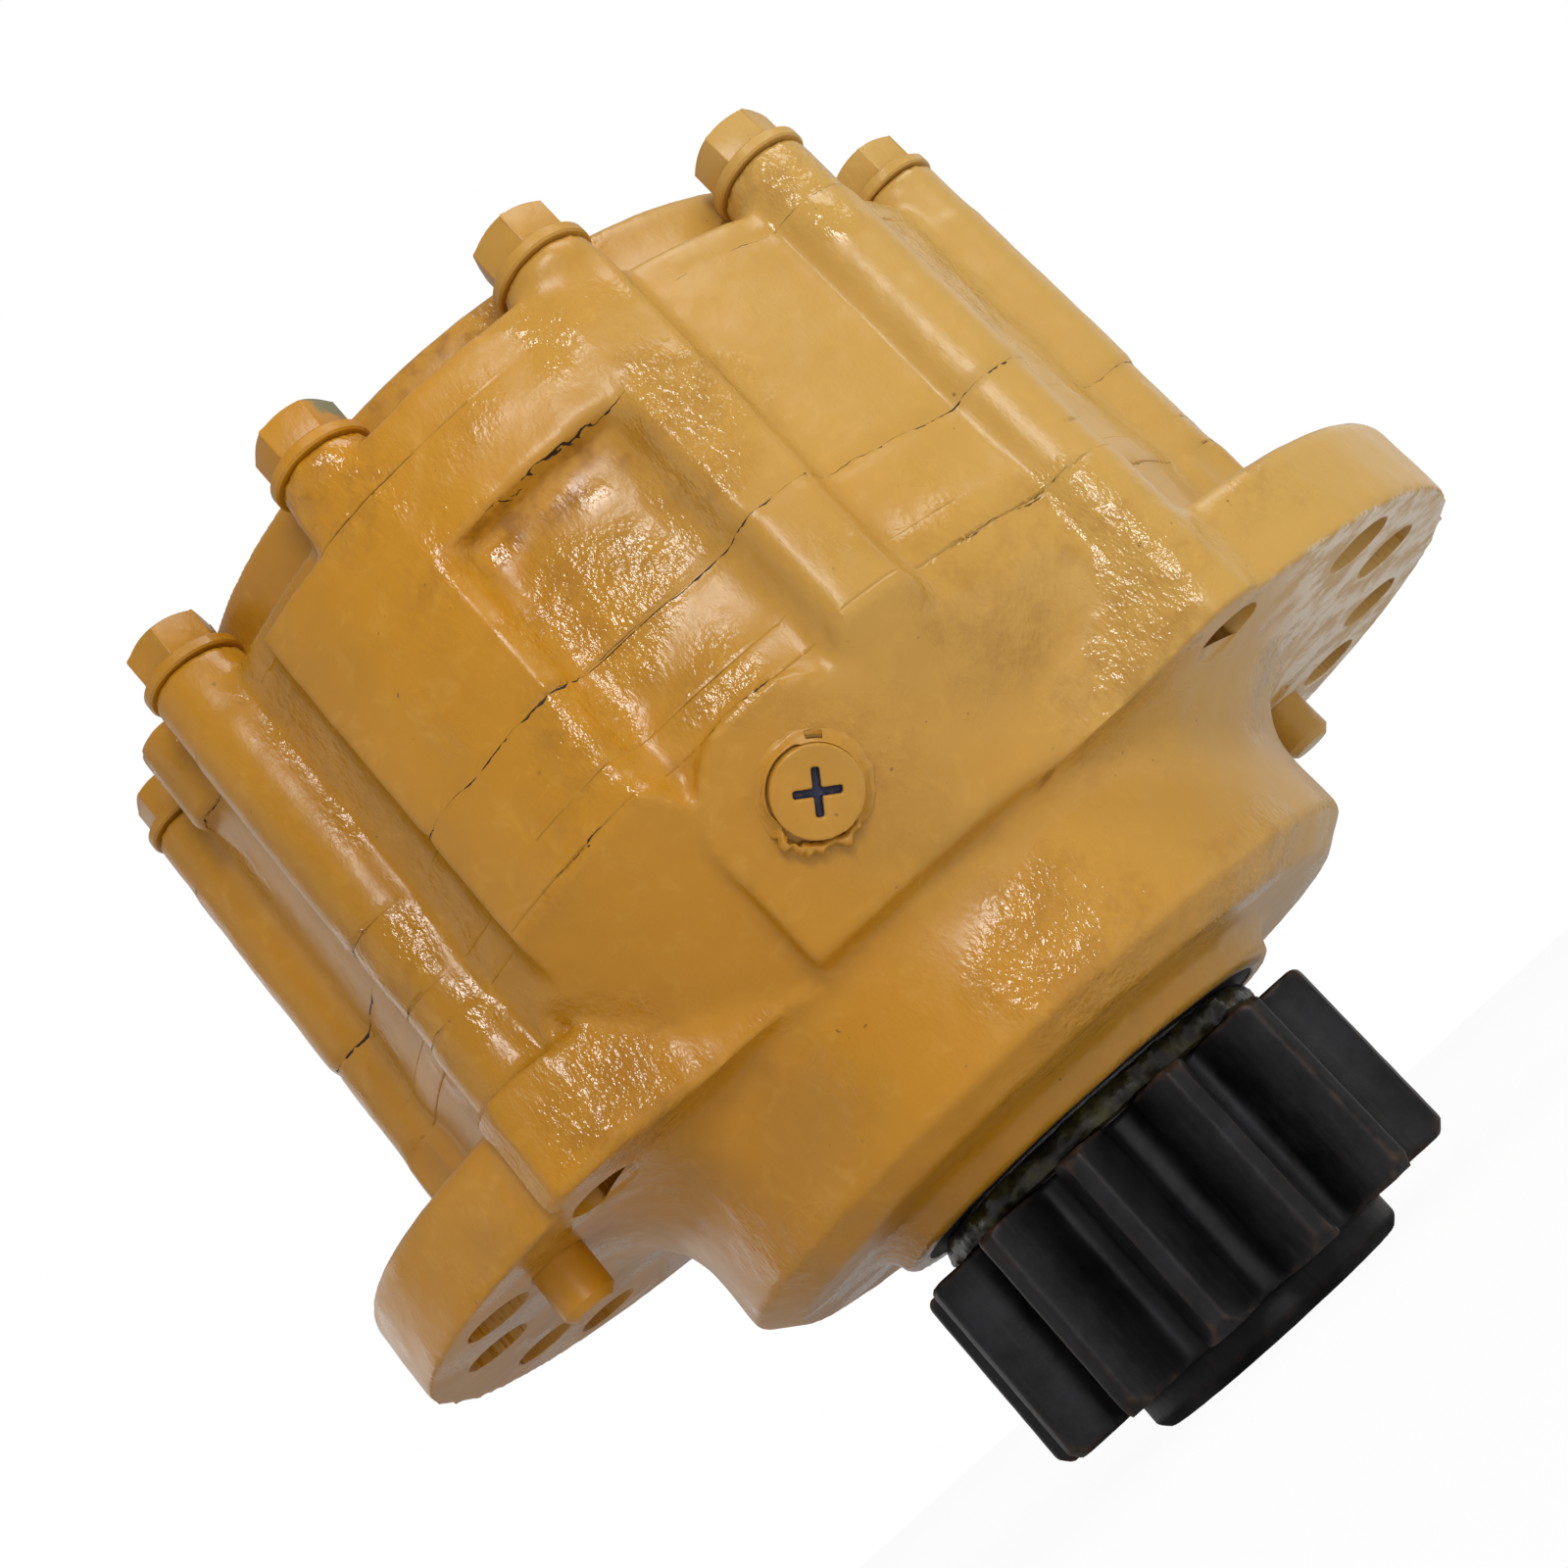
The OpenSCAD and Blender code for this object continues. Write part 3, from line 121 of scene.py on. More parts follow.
# The camera of the reference view: its place, its right and up if it were level, and the cosine and sine of
# its roll.
LENS_MM = 49.93
CAMERA_AT = (-0.01453, -0.67930, -0.11434)
LEVEL_RIGHT = Vector((0.99974, -0.01298, -0.01872))
LEVEL_UP = Vector((0.01444, -0.27466, 0.96143))
ROLL = (0.7547, 0.6561)
# Patches of rough casting: centre and reach in mm.
ROUGH_SPOTS = [(22, -117, -38, 30), (101, -122, 41, 24), (73, -138, 39, 32), (-10, -152, 103, 26),
               (-34, -160, 80, 18), (-118, -122, 82, 20), (-92, -120, 14, 26), (48, -160, 130, 22),
               (-40, -160, 178, 24), (112, 118, 60, 40), (-60, 155, 120, 45)]
FRONT = -pi / 2
BOLT_COUNT = 12
BOLT_STEP = 2 * pi / BOLT_COUNT
BOLT_CIRCLE_MM = 155.0
# The bolts, counted from the front, that end in the spacer; the others end in the flange.
SHORT_BOLTS = (0, 5, 6, 11)
# The oil port: the lean of its face, the centre of its mouth, the way it faces, and its frame in metres.
PORT_LEAN = radians(29.4)
PORT_MOUTH_MM = Vector((0, -131 - 35.5 * sin(PORT_LEAN), 35.5 * cos(PORT_LEAN)))
PORT_OUT = Vector((0, -cos(PORT_LEAN), -sin(PORT_LEAN)))
PORT_PLACE = (Matrix.Translation(PORT_MOUTH_MM * MM)
              @ Vector((0, 0, 1)).rotation_difference(PORT_OUT).to_matrix().to_4x4())


# -------- sizes and colours

class CastingSizes(bpy.types.PropertyGroup):
    """How finely the painted castings are made and how soft they are"""
    grain: FloatProperty(
        name="Mesh size", description="Size of one face on the painted skin", default=0.0019, min=0.0012,
        max=0.004, unit="LENGTH")
    edge_passes: IntProperty(
        name="Edge softening", description="Smoothing passes over every edge", default=4, min=0, max=30)
    fill_passes: IntProperty(
        name="Corner fill", description="Passes that fill the castings' inner corners", default=40, min=0,
        max=200)
    waviness: FloatProperty(
        name="Waviness", description="Height of the lumps in casting and paint", default=0.0004, min=0.0,
        max=0.002, unit="LENGTH")


class FinishColours(bpy.types.PropertyGroup):
    """Colours of the finishes"""
    enamel: FloatVectorProperty(
        name="Enamel", description="Yellow ochre machinery enamel", subtype="COLOR_GAMMA", size=3,
        default=(0.745, 0.510, 0.085))
    # Brown of the stain, also used as painted shade in the hollows and under the lip.
    stain_and_shade: FloatVectorProperty(
        name="Stain", description="Brown stain in the recesses", subtype="COLOR_GAMMA", size=3,
        default=(0.520, 0.315, 0.060))
    primer: FloatVectorProperty(
        name="Bare patch", description="Grey green where the enamel missed", subtype="COLOR_GAMMA", size=3,
        default=(0.500, 0.490, 0.370))


class StageSizes(bpy.types.PropertyGroup):
    """Floor and light"""
    floor_size: FloatProperty(
        name="Floor size", description="Width of the pale floor", default=12.0, min=2.0, max=60.0,
        unit="LENGTH")
    daylight: FloatProperty(
        name="Daylight", description="Strength of the even light from all round", default=0.34, min=0.0,
        max=2.0)
    key_power: FloatProperty(
        name="Key light", description="Power of the large soft lamp in watts", default=9.0, min=0.0,
        max=200.0)


# -------- colour and node helpers

def linear(colour):
    """An sRGB colour, as a hex string or three shares, as linear RGBA."""
    if isinstance(colour, str):
        colour = [int(colour[i:i + 2], 16) / 255 for i in (1, 3, 5)]
    return [c / 12.92 if c <= 0.04045 else ((c + 0.055) / 1.055) ** 2.4 for c in colour] + [1.0]


# The nodes that recur, under short names: the type, its settings, the inputs given by place, and the output.
KINDS = {name: ("ShaderNodeMath", {"operation": operation}, ("in0", "in1"), 0) for name, operation in (
    ("plus", "ADD"), ("less", "SUBTRACT"), ("times", "MULTIPLY"), ("most", "MAXIMUM"), ("size", "ABSOLUTE"),
    ("under", "LESS_THAN"), ("angle", "ARCTAN2"))}
KINDS |= {
    # 0 below the first bound and 1 above the second.
    "ramp": ("ShaderNodeMapRange", {"interpolation_type": "SMOOTHSTEP"},
             ("Value", "From_Min", "From_Max"), 0),
    # A factor from 0 to 1, spread from the first bound to the second.
    "spread": ("ShaderNodeMapRange", {}, ("Value", "To_Min", "To_Max"), 0),
    "mix": ("ShaderNodeMix", {"data_type": "RGBA"}, ("in0", "in6", "in7"), 2),
    "noise": ("ShaderNodeTexNoise", {}, ("Scale", "Detail", "Roughness", "Distortion"), 0),
    "stretch": ("ShaderNodeMapping", {}, ("Scale",), 0),
}


def feed(tree, node, values):
    """Links or sets a node's inputs. A key names an input, with _ for a blank, or in0, in1 by place."""
    for name, value in values.items():
        place = int(name[2:]) if name[:2] == "in" and name[2:].isdigit() else name.replace("_", " ")
        socket = node.inputs[place]
        if isinstance(value, bpy.types.NodeSocket):
            tree.links.new(value, socket)
        else:
            socket.default_value = linear(value) if isinstance(value, str) else value


def add(tree, kind, settings=None, **values):
    """Adds a node with some settings, and feeds its inputs."""
    made = tree.nodes.new(kind)
    for name, value in (settings or {}).items():
        setattr(made, name, value)
    feed(tree, made, values)
    return made


def put(tree, name, *given, **values):
    """Adds one of the KINDS, and gives back its output."""
    kind, settings, inputs, output = KINDS[name]
    return add(tree, kind, settings, **values, **dict(zip(inputs, given))).outputs[output]


def every(size_mm):
    """The scale of a pattern whose lumps are about that far apart."""
    return 1 / (size_mm * MM)


class Finish:
    """A material in the making. What put gives back is a socket, and done gives back the material."""

    def __init__(self, name):
        self.material = bpy.data.materials.new(name)
        self.material.use_nodes = True
        self.tree = self.material.node_tree
        self.tree.nodes.clear()
        self.shader = self.add("ShaderNodeBsdfPrincipled")
        self.end = self.add("ShaderNodeOutputMaterial", Surface=self.shader.outputs[0])
        self.place = self.add("ShaderNodeTexCoord").outputs["Object"]

    def add(self, kind, settings=None, **values):
        return add(self.tree, kind, settings, **values)

    def put(self, name, *given, **values):
        """As put does. A pattern reads the Object coordinates where nothing else is given."""
        if name in ("noise", "stretch"):
            values.setdefault("Vector", self.place)
        return put(self.tree, name, *given, **values)

    def sway(self, reach, *noise_of):
        """Noise about 0, half the reach either way."""
        return self.put("times", self.put("less", self.put("noise", *noise_of), 0.5), reach)

    def relief(self, *layers):
        """Stacks bump layers given as (height socket, depth in mm)."""
        below = {}
        for height, depth_mm in layers:
            made = self.add("ShaderNodeBump", Height=height, Distance=depth_mm * MM, Strength=1.0, **below)
            below = {"Normal": made.outputs[0]}
        return made.outputs[0]

    def done(self, **values):
        feed(self.tree, self.shader, values)
        return self.material


# -------- materials

def enamel(colours):
    """Two thick coats of brushed machinery enamel over sand-cast iron.

    The eye gets a warm ochre that goes darker and browner in the hollows, partly as stain and partly as
    painted shade, paler towards the right as painted light, a wet gloss broken up by casting grain under
    the paint, brush wrinkles, and black cracks where the coat bridges the joints.
    """
    coat = Finish(ENAMEL)
    put, sway = coat.put, coat.sway
    hollow_shade, rough_cast, gape, dust, missed = (
        coat.add("ShaderNodeAttribute", {"attribute_name": name}).outputs["Fac"] for name in SHARES)
    where = coat.add("ShaderNodeSeparateXYZ", in0=coat.place)
    # Uneven cover in patches about 70 mm wide.
    patch = put("ramp", put("noise", every(70), 3.0), 0.35, 0.7)
    base = put("mix", patch, linear(colours.enamel), "#ab7616")
    # Painted light: towards the right the ochre is painted paler and yellower, standing for the stronger
    # light on that side.
    painted_light_side = put("plus", where.outputs[0], sway(110 * MM, every(60), 2.0))
    base = put("mix", put("ramp", painted_light_side, -60 * MM, 150 * MM), base, "#c49a4c")
    # Paler brush streaks about 9 mm wide.
    streak = put("ramp", put("noise", every(9), 4.0, 0.6, 0.8), 0.5, 0.8)
    base = put("mix", put("times", streak, 0.3), base, "#d3a044")
    # Painted shade and stain in one brown: it darkens the hollows, the underside of the lip and the flange's
    # lower front edge as shade would, and the roughest casting as stain.
    blot = put("ramp", put("noise", every(11), 3.0, 0.65), 0.42, 0.68)
    stain_and_shade = put("most", put("ramp", hollow_shade, 0.1, 0.9), put("times", rough_cast, 0.35))
    base = put("mix", put("times", put("times", stain_and_shade, blot), 0.7), base, linear(colours.stain_and_shade))
    # A few dark specks 1 to 2 mm across where grit was painted in.
    speck = put("ramp", put("noise", every(2.6), 1.0), 0.76, 0.79)
    speck = put("times", speck, put("ramp", put("noise", every(40), 1.0), 0.5, 0.6))
    base = put("mix", put("times", speck, 0.6), base, "#6b4a20")
    # Pale overspray, dry and dusty, where the gun only grazed the face.
    dusty = put("times", dust, put("ramp", put("noise", every(15), 5.0, 0.7), 0.38, 0.58))
    base = put("mix", put("times", dusty, 0.85), base, "#eee6dc")
    # Bare grey green where the enamel missed.
    bare = put("ramp", put("plus", missed, sway(0.6, every(5), 3.0)), 0.4, 0.7)
    base = put("mix", bare, base, linear(colours.primer))
    # Cracks along the joints and the lip: a line that wanders by 2 mm, torn wider and narrower on its way.
    level = put("plus", where.outputs[2], sway(4.5 * MM, every(16), 3.0, 0.6))
    tear = coat.add("ShaderNodeMapRange", Value=put("noise", every(4), 2.0), From_Min=0.35, From_Max=0.7)
    reach = put("times", put("times", gape, tear.outputs[0]), MM)
    crack = None
    for joint in JOINTS_MM + [LIP_MM]:
        line = put("under", put("size", put("less", level, joint * MM), 0.0), reach)
        crack = put("most", crack, line) if crack else line
    base = put("mix", crack, base, "#20160b")
    # Wet and wrinkled where the coat is thick, satin where it is thin, dull where it is broken.
    thick = put("most", put("ramp", put("noise", every(38), 2.0), 0.54, 0.7), rough_cast)
    dull = put("most", put("most", crack, dusty), bare)
    gloss = put("plus", put("spread", thick, 0.34, 0.11), put("times", dull, 0.4))
    # Casting grain of 1.5 mm, strongest in rough patches, and wrinkles 6 mm wide that run downwards.
    share = put("plus", put("times", thick, 0.5), put("plus", put("times", rough_cast, 0.5), 0.25))
    drawn = put("stretch", (1.0, 1.0, 0.6))
    grain = put("times", put("noise", every(1.5), 2.0, 0.55, Vector=drawn), share)
    wrinkle = put("times", put("noise", every(6), 1.0, Vector=drawn), thick)
    normal = coat.relief((put("noise", every(22), 2.0), 0.9), (wrinkle, 0.45), (grain, 0.36),
                         (put("noise", every(0.7), 1.0), 0.015), (put("times", crack, -1.0), 0.4))
    return coat.done(Base_Color=base, Roughness=gloss, Normal=normal, IOR=1.5)


def machined_iron():
    """Cast iron, turned or milled and oiled: grey, fine tool marks, half dull."""
    iron = Finish("oiled machined cast iron")
    put = iron.put
    base = put("mix", put("ramp", put("noise", every(25), 3.0), 0.35, 0.7), "#6d6c69", "#85827c")
    # Tool marks round the axis, 0.8 mm apart: coarser than real ones, so that they show.
    rings = iron.add("ShaderNodeTexWave", {"wave_type": "RINGS", "rings_direction": "Z"}, Vector=iron.place,
                     Scale=1 / (0.8 * MM) / 6.28, Distortion=0.6, Detail=1.0).outputs["Fac"]
    rough = put("spread", put("noise", every(6), 3.0), 0.32, 0.5)
    return iron.done(Base_Color=base, Metallic=1.0, Roughness=rough, Normal=iron.relief((rings, 0.03)))


def oiled_steel():
    """Hardened gear steel, black from the furnace and wiped with oil: nearly black, brown on worn edges."""
    steel = Finish("oiled black gear steel")
    put = steel.put
    cloud = put("noise", every(18), 4.0, 0.6)
    base = put("mix", put("ramp", cloud, 0.3, 0.7), "#151517", "#26262a")
    edge = steel.add("ShaderNodeAttribute", {"attribute_name": "edge"}).outputs["Fac"]
    worn = put("ramp", edge, 0.2, 0.8)
    rub = put("times", worn, put("ramp", put("noise", every(5), 3.0), 0.35, 0.6))
    base = put("mix", put("times", rub, 0.65), base, "#5a4636")
    # Dry grey streaks along the teeth, where the oil was wiped off.
    along = put("stretch", (1.0, 1.0, 0.12))
    dry = put("ramp", put("noise", every(5), 4.0, 0.65, Vector=along), 0.5, 0.75)
    base = put("mix", put("times", dry, 0.45), base, "#3a3733")
    rough = put("spread", put("plus", cloud, put("times", dry, 0.4)), 0.34, 0.58)
    normal = steel.relief((put("noise", every(1.4), 3.0), 0.06), (put("noise", every(9), 2.0), 0.12))
    return steel.done(Base_Color=base, Metallic=0.55, Roughness=rough, Normal=normal)


def metal(name, dark, light, low, high, mark_mm, mark_depth):
    """A bright metal with an oil film: two close tones in blotches, and tool marks mark_mm apart.

    The marks are coarser than real ones, so that they show.
    """
    bright = Finish(name)
    put = bright.put
    base = put("mix", put("ramp", put("noise", every(16), 3.0), 0.3, 0.7), dark, light)
    rough = put("spread", put("noise", every(4), 3.0), low, high)
    normal = bright.relief((put("noise", every(mark_mm), 2.0), mark_depth))
    return bright.done(Base_Color=base, Metallic=1.0, Roughness=rough, Normal=normal)


def nitrile():
    """Moulded black nitrile rubber: dull, with a faint bloom."""
    rubber = Finish("moulded nitrile rubber")
    put = rubber.put
    base = put("mix", put("ramp", put("noise", every(12), 3.0), 0.4, 0.8), "#1a1a1b", "#2b2b2a")
    normal = rubber.relief((put("noise", every(0.9), 2.0), 0.04))
    return rubber.done(Base_Color=base, Roughness=0.62, IOR=1.5, Normal=normal)


def grease():
    """Old gear grease: black, wet, with olive where it is thin."""
    old = Finish("old gear grease")
    put = old.put
    base = put("mix", put("ramp", put("noise", every(9), 3.0, 0.6), 0.42, 0.68), "#12100a", "#3a3612")
    normal = old.relief((put("noise", every(3), 3.0), 0.5))
    return old.done(Base_Color=base, Roughness=0.38, IOR=1.47, Normal=normal)


def dark_nylon():
    """Navy nylon of a push-in plug, seen where the paint stayed out of its slots: dull, slightly dusty."""
    nylon = Finish("moulded navy nylon")
    dusty = nylon.put("ramp", nylon.put("noise", every(2), 3.0), 0.5, 0.8)
    return nylon.done(Base_Color=nylon.put("mix", dusty, "#1b1f3d", "#4a4653"), Roughness=0.5, IOR=1.52)


def pale_floor():
    """Matt white studio floor: to the camera it is white, with a faint shadow under the part."""
    floor = Finish("matt white studio floor")
    glow = floor.add("ShaderNodeEmission", Color=(1, 1, 1, 1), Strength=1.0)
    seen = floor.add("ShaderNodeLightPath")
    both = floor.add("ShaderNodeMixShader", in0=floor.put("times", seen.outputs["Is Camera Ray"], 0.95),
                     in1=floor.shader.outputs[0], in2=glow.outputs[0])
    feed(floor.tree, floor.end, {"Surface": both.outputs[0]})
    return floor.done(Base_Color=linear("#eeeeec"), Roughness=0.9)


# -------- mesh helpers

def keep(mesh, name):
    """A new object of that mesh, at the origin."""
    made = bpy.data.objects.new(name, mesh)
    bpy.context.scene.collection.objects.link(made)
    return made


def formed(form, name):
    """A new object of a bmesh, which goes."""
    mesh = bpy.data.meshes.new(name)
    form.to_mesh(mesh)
    form.free()
    return keep(mesh, name)


def drop(*objects):
    """Deletes pieces that were only needed on the way."""
    for gone in objects:
        mesh = gone.data
        bpy.data.objects.remove(gone)
        bpy.data.meshes.remove(mesh)


def bake(piece):
    """Applies every modifier on a piece, in place."""
    ready, old = piece.evaluated_get(bpy.context.evaluated_depsgraph_get()), piece.data
    mesh = bpy.data.meshes.new_from_object(ready)
    piece.modifiers.clear()
    piece.data = mesh
    bpy.data.meshes.remove(old)
    return piece


def cad_copy(node):
    """A closed copy of a CAD node: its loose triangles joined."""
    form = bmesh.new()
    form.from_mesh(NODES[node].data)
    bmesh.ops.remove_doubles(form, verts=form.verts, dist=1e-6)
    return formed(form, "solid")


def lathe(name, outline_mm, sides=96, place=Matrix.Identity(4)):
    """A closed solid turned about Z from (radius, height) pairs that end on the axis or where they start."""
    form = bmesh.new()
    turns = [2 * pi * k / sides for k in range(sides)]
    rows = []
    for radius, height in outline_mm:
        reach = radius * MM
        rows.append([form.verts.new((reach * cos(turn), reach * sin(turn), height * MM))
                     for turn in (turns if radius else turns[:1])])
    for low, high in zip(rows, rows[1:]):
        for k in range(sides):
            after = k + 1
            ring = [low[k % len(low)], low[after % len(low)], high[after % len(high)], high[k % len(high)]]
            form.faces.new(list(dict.fromkeys(ring)))
    form.transform(place)
    bmesh.ops.recalc_face_normals(form, faces=form.faces)
    return formed(form, name)


def rod(radius, low, high, at=(0, 0), sides=48, place=None):
    """A plain cylinder in mm used for cutting and plugging: upright at a plan position, or in a frame."""
    place = place or Matrix.Translation((at[0] * MM, at[1] * MM, 0))
    return lathe("rod", [(0, low), (radius, low), (radius, high), (0, high)], sides, place)


def wedge(corners_mm):
    """The closed solid stretched over some corners."""
    form = bmesh.new()
    for corner in corners_mm:
        form.verts.new(Vector(corner) * MM)
    bmesh.ops.convex_hull(form, input=form.verts)
    return formed(form, "wedge")


def combine(first, second, how):
    """Boolean of two closed pieces; the result stays in first and second goes."""
    step = first.modifiers.new("combine", "BOOLEAN")
    step.operation, step.solver, step.object = how, "MANIFOLD", second
    bake(first)
    drop(second)
    return first


def union(solids):
    """One solid of many, joined in pairs."""
    while len(solids) > 1:
        solids = [combine(solids[k], solids[k + 1], "UNION") if k + 1 < len(solids) else solids[k]
                  for k in range(0, len(solids), 2)]
    return solids[0]


def read(items, name, width=3, kind=np.float32):
    """One property of many mesh items, a row for each."""
    out = np.empty(len(items) * width, kind)
    items.foreach_get(name, out)
    return out.reshape(-1, width)


def points_of(mesh):
    return read(mesh.vertices, "co").astype(float) / MM


def normals_of(mesh):
    return read(mesh.vertex_normals, "vector").astype(float)


def edges_of(mesh):
    return read(mesh.edges, "vertices", 2, np.int32)


def set_points(mesh, co_mm):
    mesh.vertices.foreach_set("co", (co_mm * MM).astype(np.float32).ravel())
    mesh.update()


def averaged(values, edges):
    """Each vertex's mean over its neighbours."""
    first, second = edges[:, 0], edges[:, 1]
    count = np.bincount(first, minlength=len(values)) + np.bincount(second, minlength=len(values))
    columns = values.reshape(len(values), -1)
    total = np.column_stack([
        np.bincount(first, column[second], len(values)) + np.bincount(second, column[first], len(values))
        for column in columns.T])
    return (total / np.maximum(count, 1)[:, None]).reshape(values.shape)


def relax(co, edges, share):
    """Moves each point a share of the way to the mean of its neighbours, in place."""
    co += share * (averaged(co, edges) - co)


def relaxed(co, edges, passes):
    """The points after some passes halfway."""
    soft = co.copy()
    for _ in range(passes):
        relax(soft, edges, 0.5)
    return soft


def eased(value, low, high):
    """0 below low, 1 above high, smooth between."""
    share = np.clip((value - low) / (high - low), 0, 1)
    return share * share * (3 - 2 * share)


def lumps(co_mm, size_mm, seed):
    """Smooth noise from -1 to 1 at each point."""
    scaled = co_mm / size_mm + seed * 17.3
    return np.array([noise.noise(Vector(p)) for p in scaled.tolist()])


def largest_shell(piece):
    """Deletes everything but the outer shell, so that closed hollows inside go."""
    mesh = piece.data
    edges, label = edges_of(mesh), np.arange(len(mesh.vertices))
    while True:
        low = np.minimum(label[edges[:, 0]], label[edges[:, 1]])
        new = label.copy()
        np.minimum.at(new, edges[:, 0], low)
        np.minimum.at(new, edges[:, 1], low)
        new = new[new]
        if (new == label).all():
            break
        label = new
    biggest = np.bincount(label).argmax()
    if (label == biggest).all():
        return piece
    form = bmesh.new()
    form.from_mesh(mesh)
    form.verts.ensure_lookup_table()
    bmesh.ops.delete(form, geom=[form.verts[k] for k in np.flatnonzero(label != biggest)], context="VERTS")
    form.to_mesh(mesh)
    form.free()
    return piece


def store(mesh, name, values):
    """Keeps one number for each vertex, which a material reads by name."""
    layer = mesh.attributes.new(name, "FLOAT", "POINT")
    layer.data.foreach_set("value", values.astype(np.float32))


def grained(solids, grain):
    """One even skin round all the solids, made of small square faces; the solids go."""
    form = bmesh.new()
    for solid in solids:
        form.from_mesh(solid.data)
    skin = formed(form, "skin")
    drop(*solids)
    step = skin.modifiers.new("grain", "REMESH")
    step.mode, step.voxel_size, step.use_smooth_shade = "VOXEL", grain, True
    return largest_shell(bake(skin))


def finish_piece(piece, name, body, materials, nodes=(), slot=None, sharp=35.0):
    """Names a piece, shades it, sets its materials, and has it ride on its body."""
    piece.name = piece.data.name = name
    piece.data.materials.clear()
    for material in materials:
        piece.data.materials.append(material)
    piece.data.shade_smooth()
    if sharp:
        piece.data.set_sharp_from_angle(angle=radians(sharp))
    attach(piece, body)
    if nodes:
        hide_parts(*nodes)
    return piece


# -------- the painted castings

def mirrored(reach, angle):
    """Plan positions in mm of a hole and its mirrors, left to right and front to back."""
    turn = radians(angle)
    return [(sx * reach * cos(turn), sy * reach * sin(turn)) for sx in (1, -1) for sy in (1, -1)]


BOLTS = [(BOLT_CIRCLE_MM * cos(FRONT + (k + 0.5) * BOLT_STEP),
          BOLT_CIRCLE_MM * sin(FRONT + (k + 0.5) * BOLT_STEP)) for k in range(BOLT_COUNT)]
EAR_HOLES = mirrored(182.5, 8.2) + mirrored(177.5, 20.8)
JACK_HOLES = mirrored(150.5, 40.9)
DOWEL_HOLES = mirrored(156.5, 24.6)[::3]
MOTOR_HOLES = [(119 * cos(k * pi / 4), 119 * sin(k * pi / 4)) for k in range(8)]


def plugs():
    """Solids that shut every opening flush with its face, so that only the outer skin is left."""
    brim = RIM_MM - UNDER_MM
    made = [rod(68, -64.5 + UNDER_MM, -45), rod(131, 60, 179), rod(106, 170, brim)]
    made += [rod(9.5, 66 if k in SHORT_BOLTS else 29, SEAT_MM - UNDER_MM, at) for k, at in enumerate(BOLTS)]
    for *size, places in ((7, 180, brim, MOTOR_HOLES), (11.6, UNDER_MM, 31, EAR_HOLES),
                          (16.6, 29, EAR_TOP_MM - UNDER_MM, EAR_HOLES), (11, UNDER_MM, 26, JACK_HOLES),
                          (9.8, UNDER_MM, 25, DOWEL_HOLES)):
        made += [rod(*size, at) for at in places]
    made.append(rod(9.6, -37, -UNDER_MM, place=PORT_PLACE))
    # The casting right of the oil boss runs out into the flange.
    made.append(wedge([(28, -130.6, UNDER_MM), (28, -146.2, 28), (28, -110, UNDER_MM), (28, -110, 40),
                       (62, -115, UNDER_MM), (62, -116.5, 28), (62, -105, UNDER_MM), (62, -105, 34)]))
    # The front wall of the left ear passes in front of the bolt tube that stands on it.
    ear_wall = ((-72, -118.1), (-98, -127.4), (-119, -127.8), (-127, -117), (-100, -90))
    made.append(wedge([(x, y, z) for x, y in ear_wall for z in (UNDER_MM, 32.4)]))
    return made


def hollows(node):
    """Solids that hold every bore and hole of one casting and stay inside its outer skin."""
    if node == "flange_housing":
        steps = ((66.2, -72, -50), (72.3, -54.3, -44), (80.3, -46.3, 19), (85.3, 17.7, 62), (145, 53, 62))
        made = [rod(*step, sides=96) for step in steps]
        made += [rod(8.3, 29.7, 62, at) for k, at in enumerate(BOLTS) if k not in SHORT_BOLTS]
        for at in EAR_HOLES:
            made += [rod(11.2, -6, 31, at), rod(16.2, 30.2, 40, at)]
        made += [rod(10.7, -6, 24.3, at) for at in JACK_HOLES]
        made += [rod(9.5, -6, 23.3, at) for at in DOWEL_HOLES]
        drain = (0, PORT_MOUTH_MM.y + (36 - 9) * cos(PORT_LEAN))
        return made + [rod(9.2, -36.3, 9, place=PORT_PLACE), rod(4.3, 8, 62, drain)]
    if node == "top_cover":
        steps = ((130.3, 160, 179.8), (78.3, 160, 216), (95.2, 197.7, 216), (105.4, 203.2, 205.98))
        made = [rod(*step, sides=96) for step in steps] + [rod(9.0, 160, 196, at) for at in BOLTS]
        return made + [rod(6.2, 183.7, 214, at, 32) for at in MOTOR_HOLES]
    levels = {"retainer_plate": (50, 75), "spacer_housing": (60, 100), "ring_gear_housing": (85, 175)}
    low, high = levels[node]
    return [rod(145, low, high, sides=96)] + [rod(9.0, low, high, at) for at in BOLTS]


def cove_tool():
    """What to cut under the flange: the cove is tight at the front, so the wall's lower edge is plain."""
    sides, tight, wider, outer, deep, skim = 120, 11, 17.5, 170, -32, -0.05
    form, rings = bmesh.new(), []
    for k in range(sides):
        angle = FRONT + 2 * pi * k / sides
        off = abs((degrees(angle - FRONT) + 180) % 360 - 180)
        size = tight + wider * float(eased(off, 30, 46))
        outline = [(NOSE_R_MM, deep)]
        outline += [(NOSE_R_MM + size - size * cos(turn), size * sin(turn) - size + skim)
                    for turn in (pi * j / 16 for j in range(9))]
        outline += [(outer, skim), (outer, deep)]
        rings.append([form.verts.new((r * MM * cos(angle), r * MM * sin(angle), z * MM))
                      for r, z in outline])
    for first, second in zip(rings, rings[1:] + rings[:1]):
        for j in range(len(first)):
            k = (j + 1) % len(first)
            form.faces.new((first[j], first[k], second[k], second[j]))
    bmesh.ops.recalc_face_normals(form, faces=form.faces)
    return formed(form, "cove")


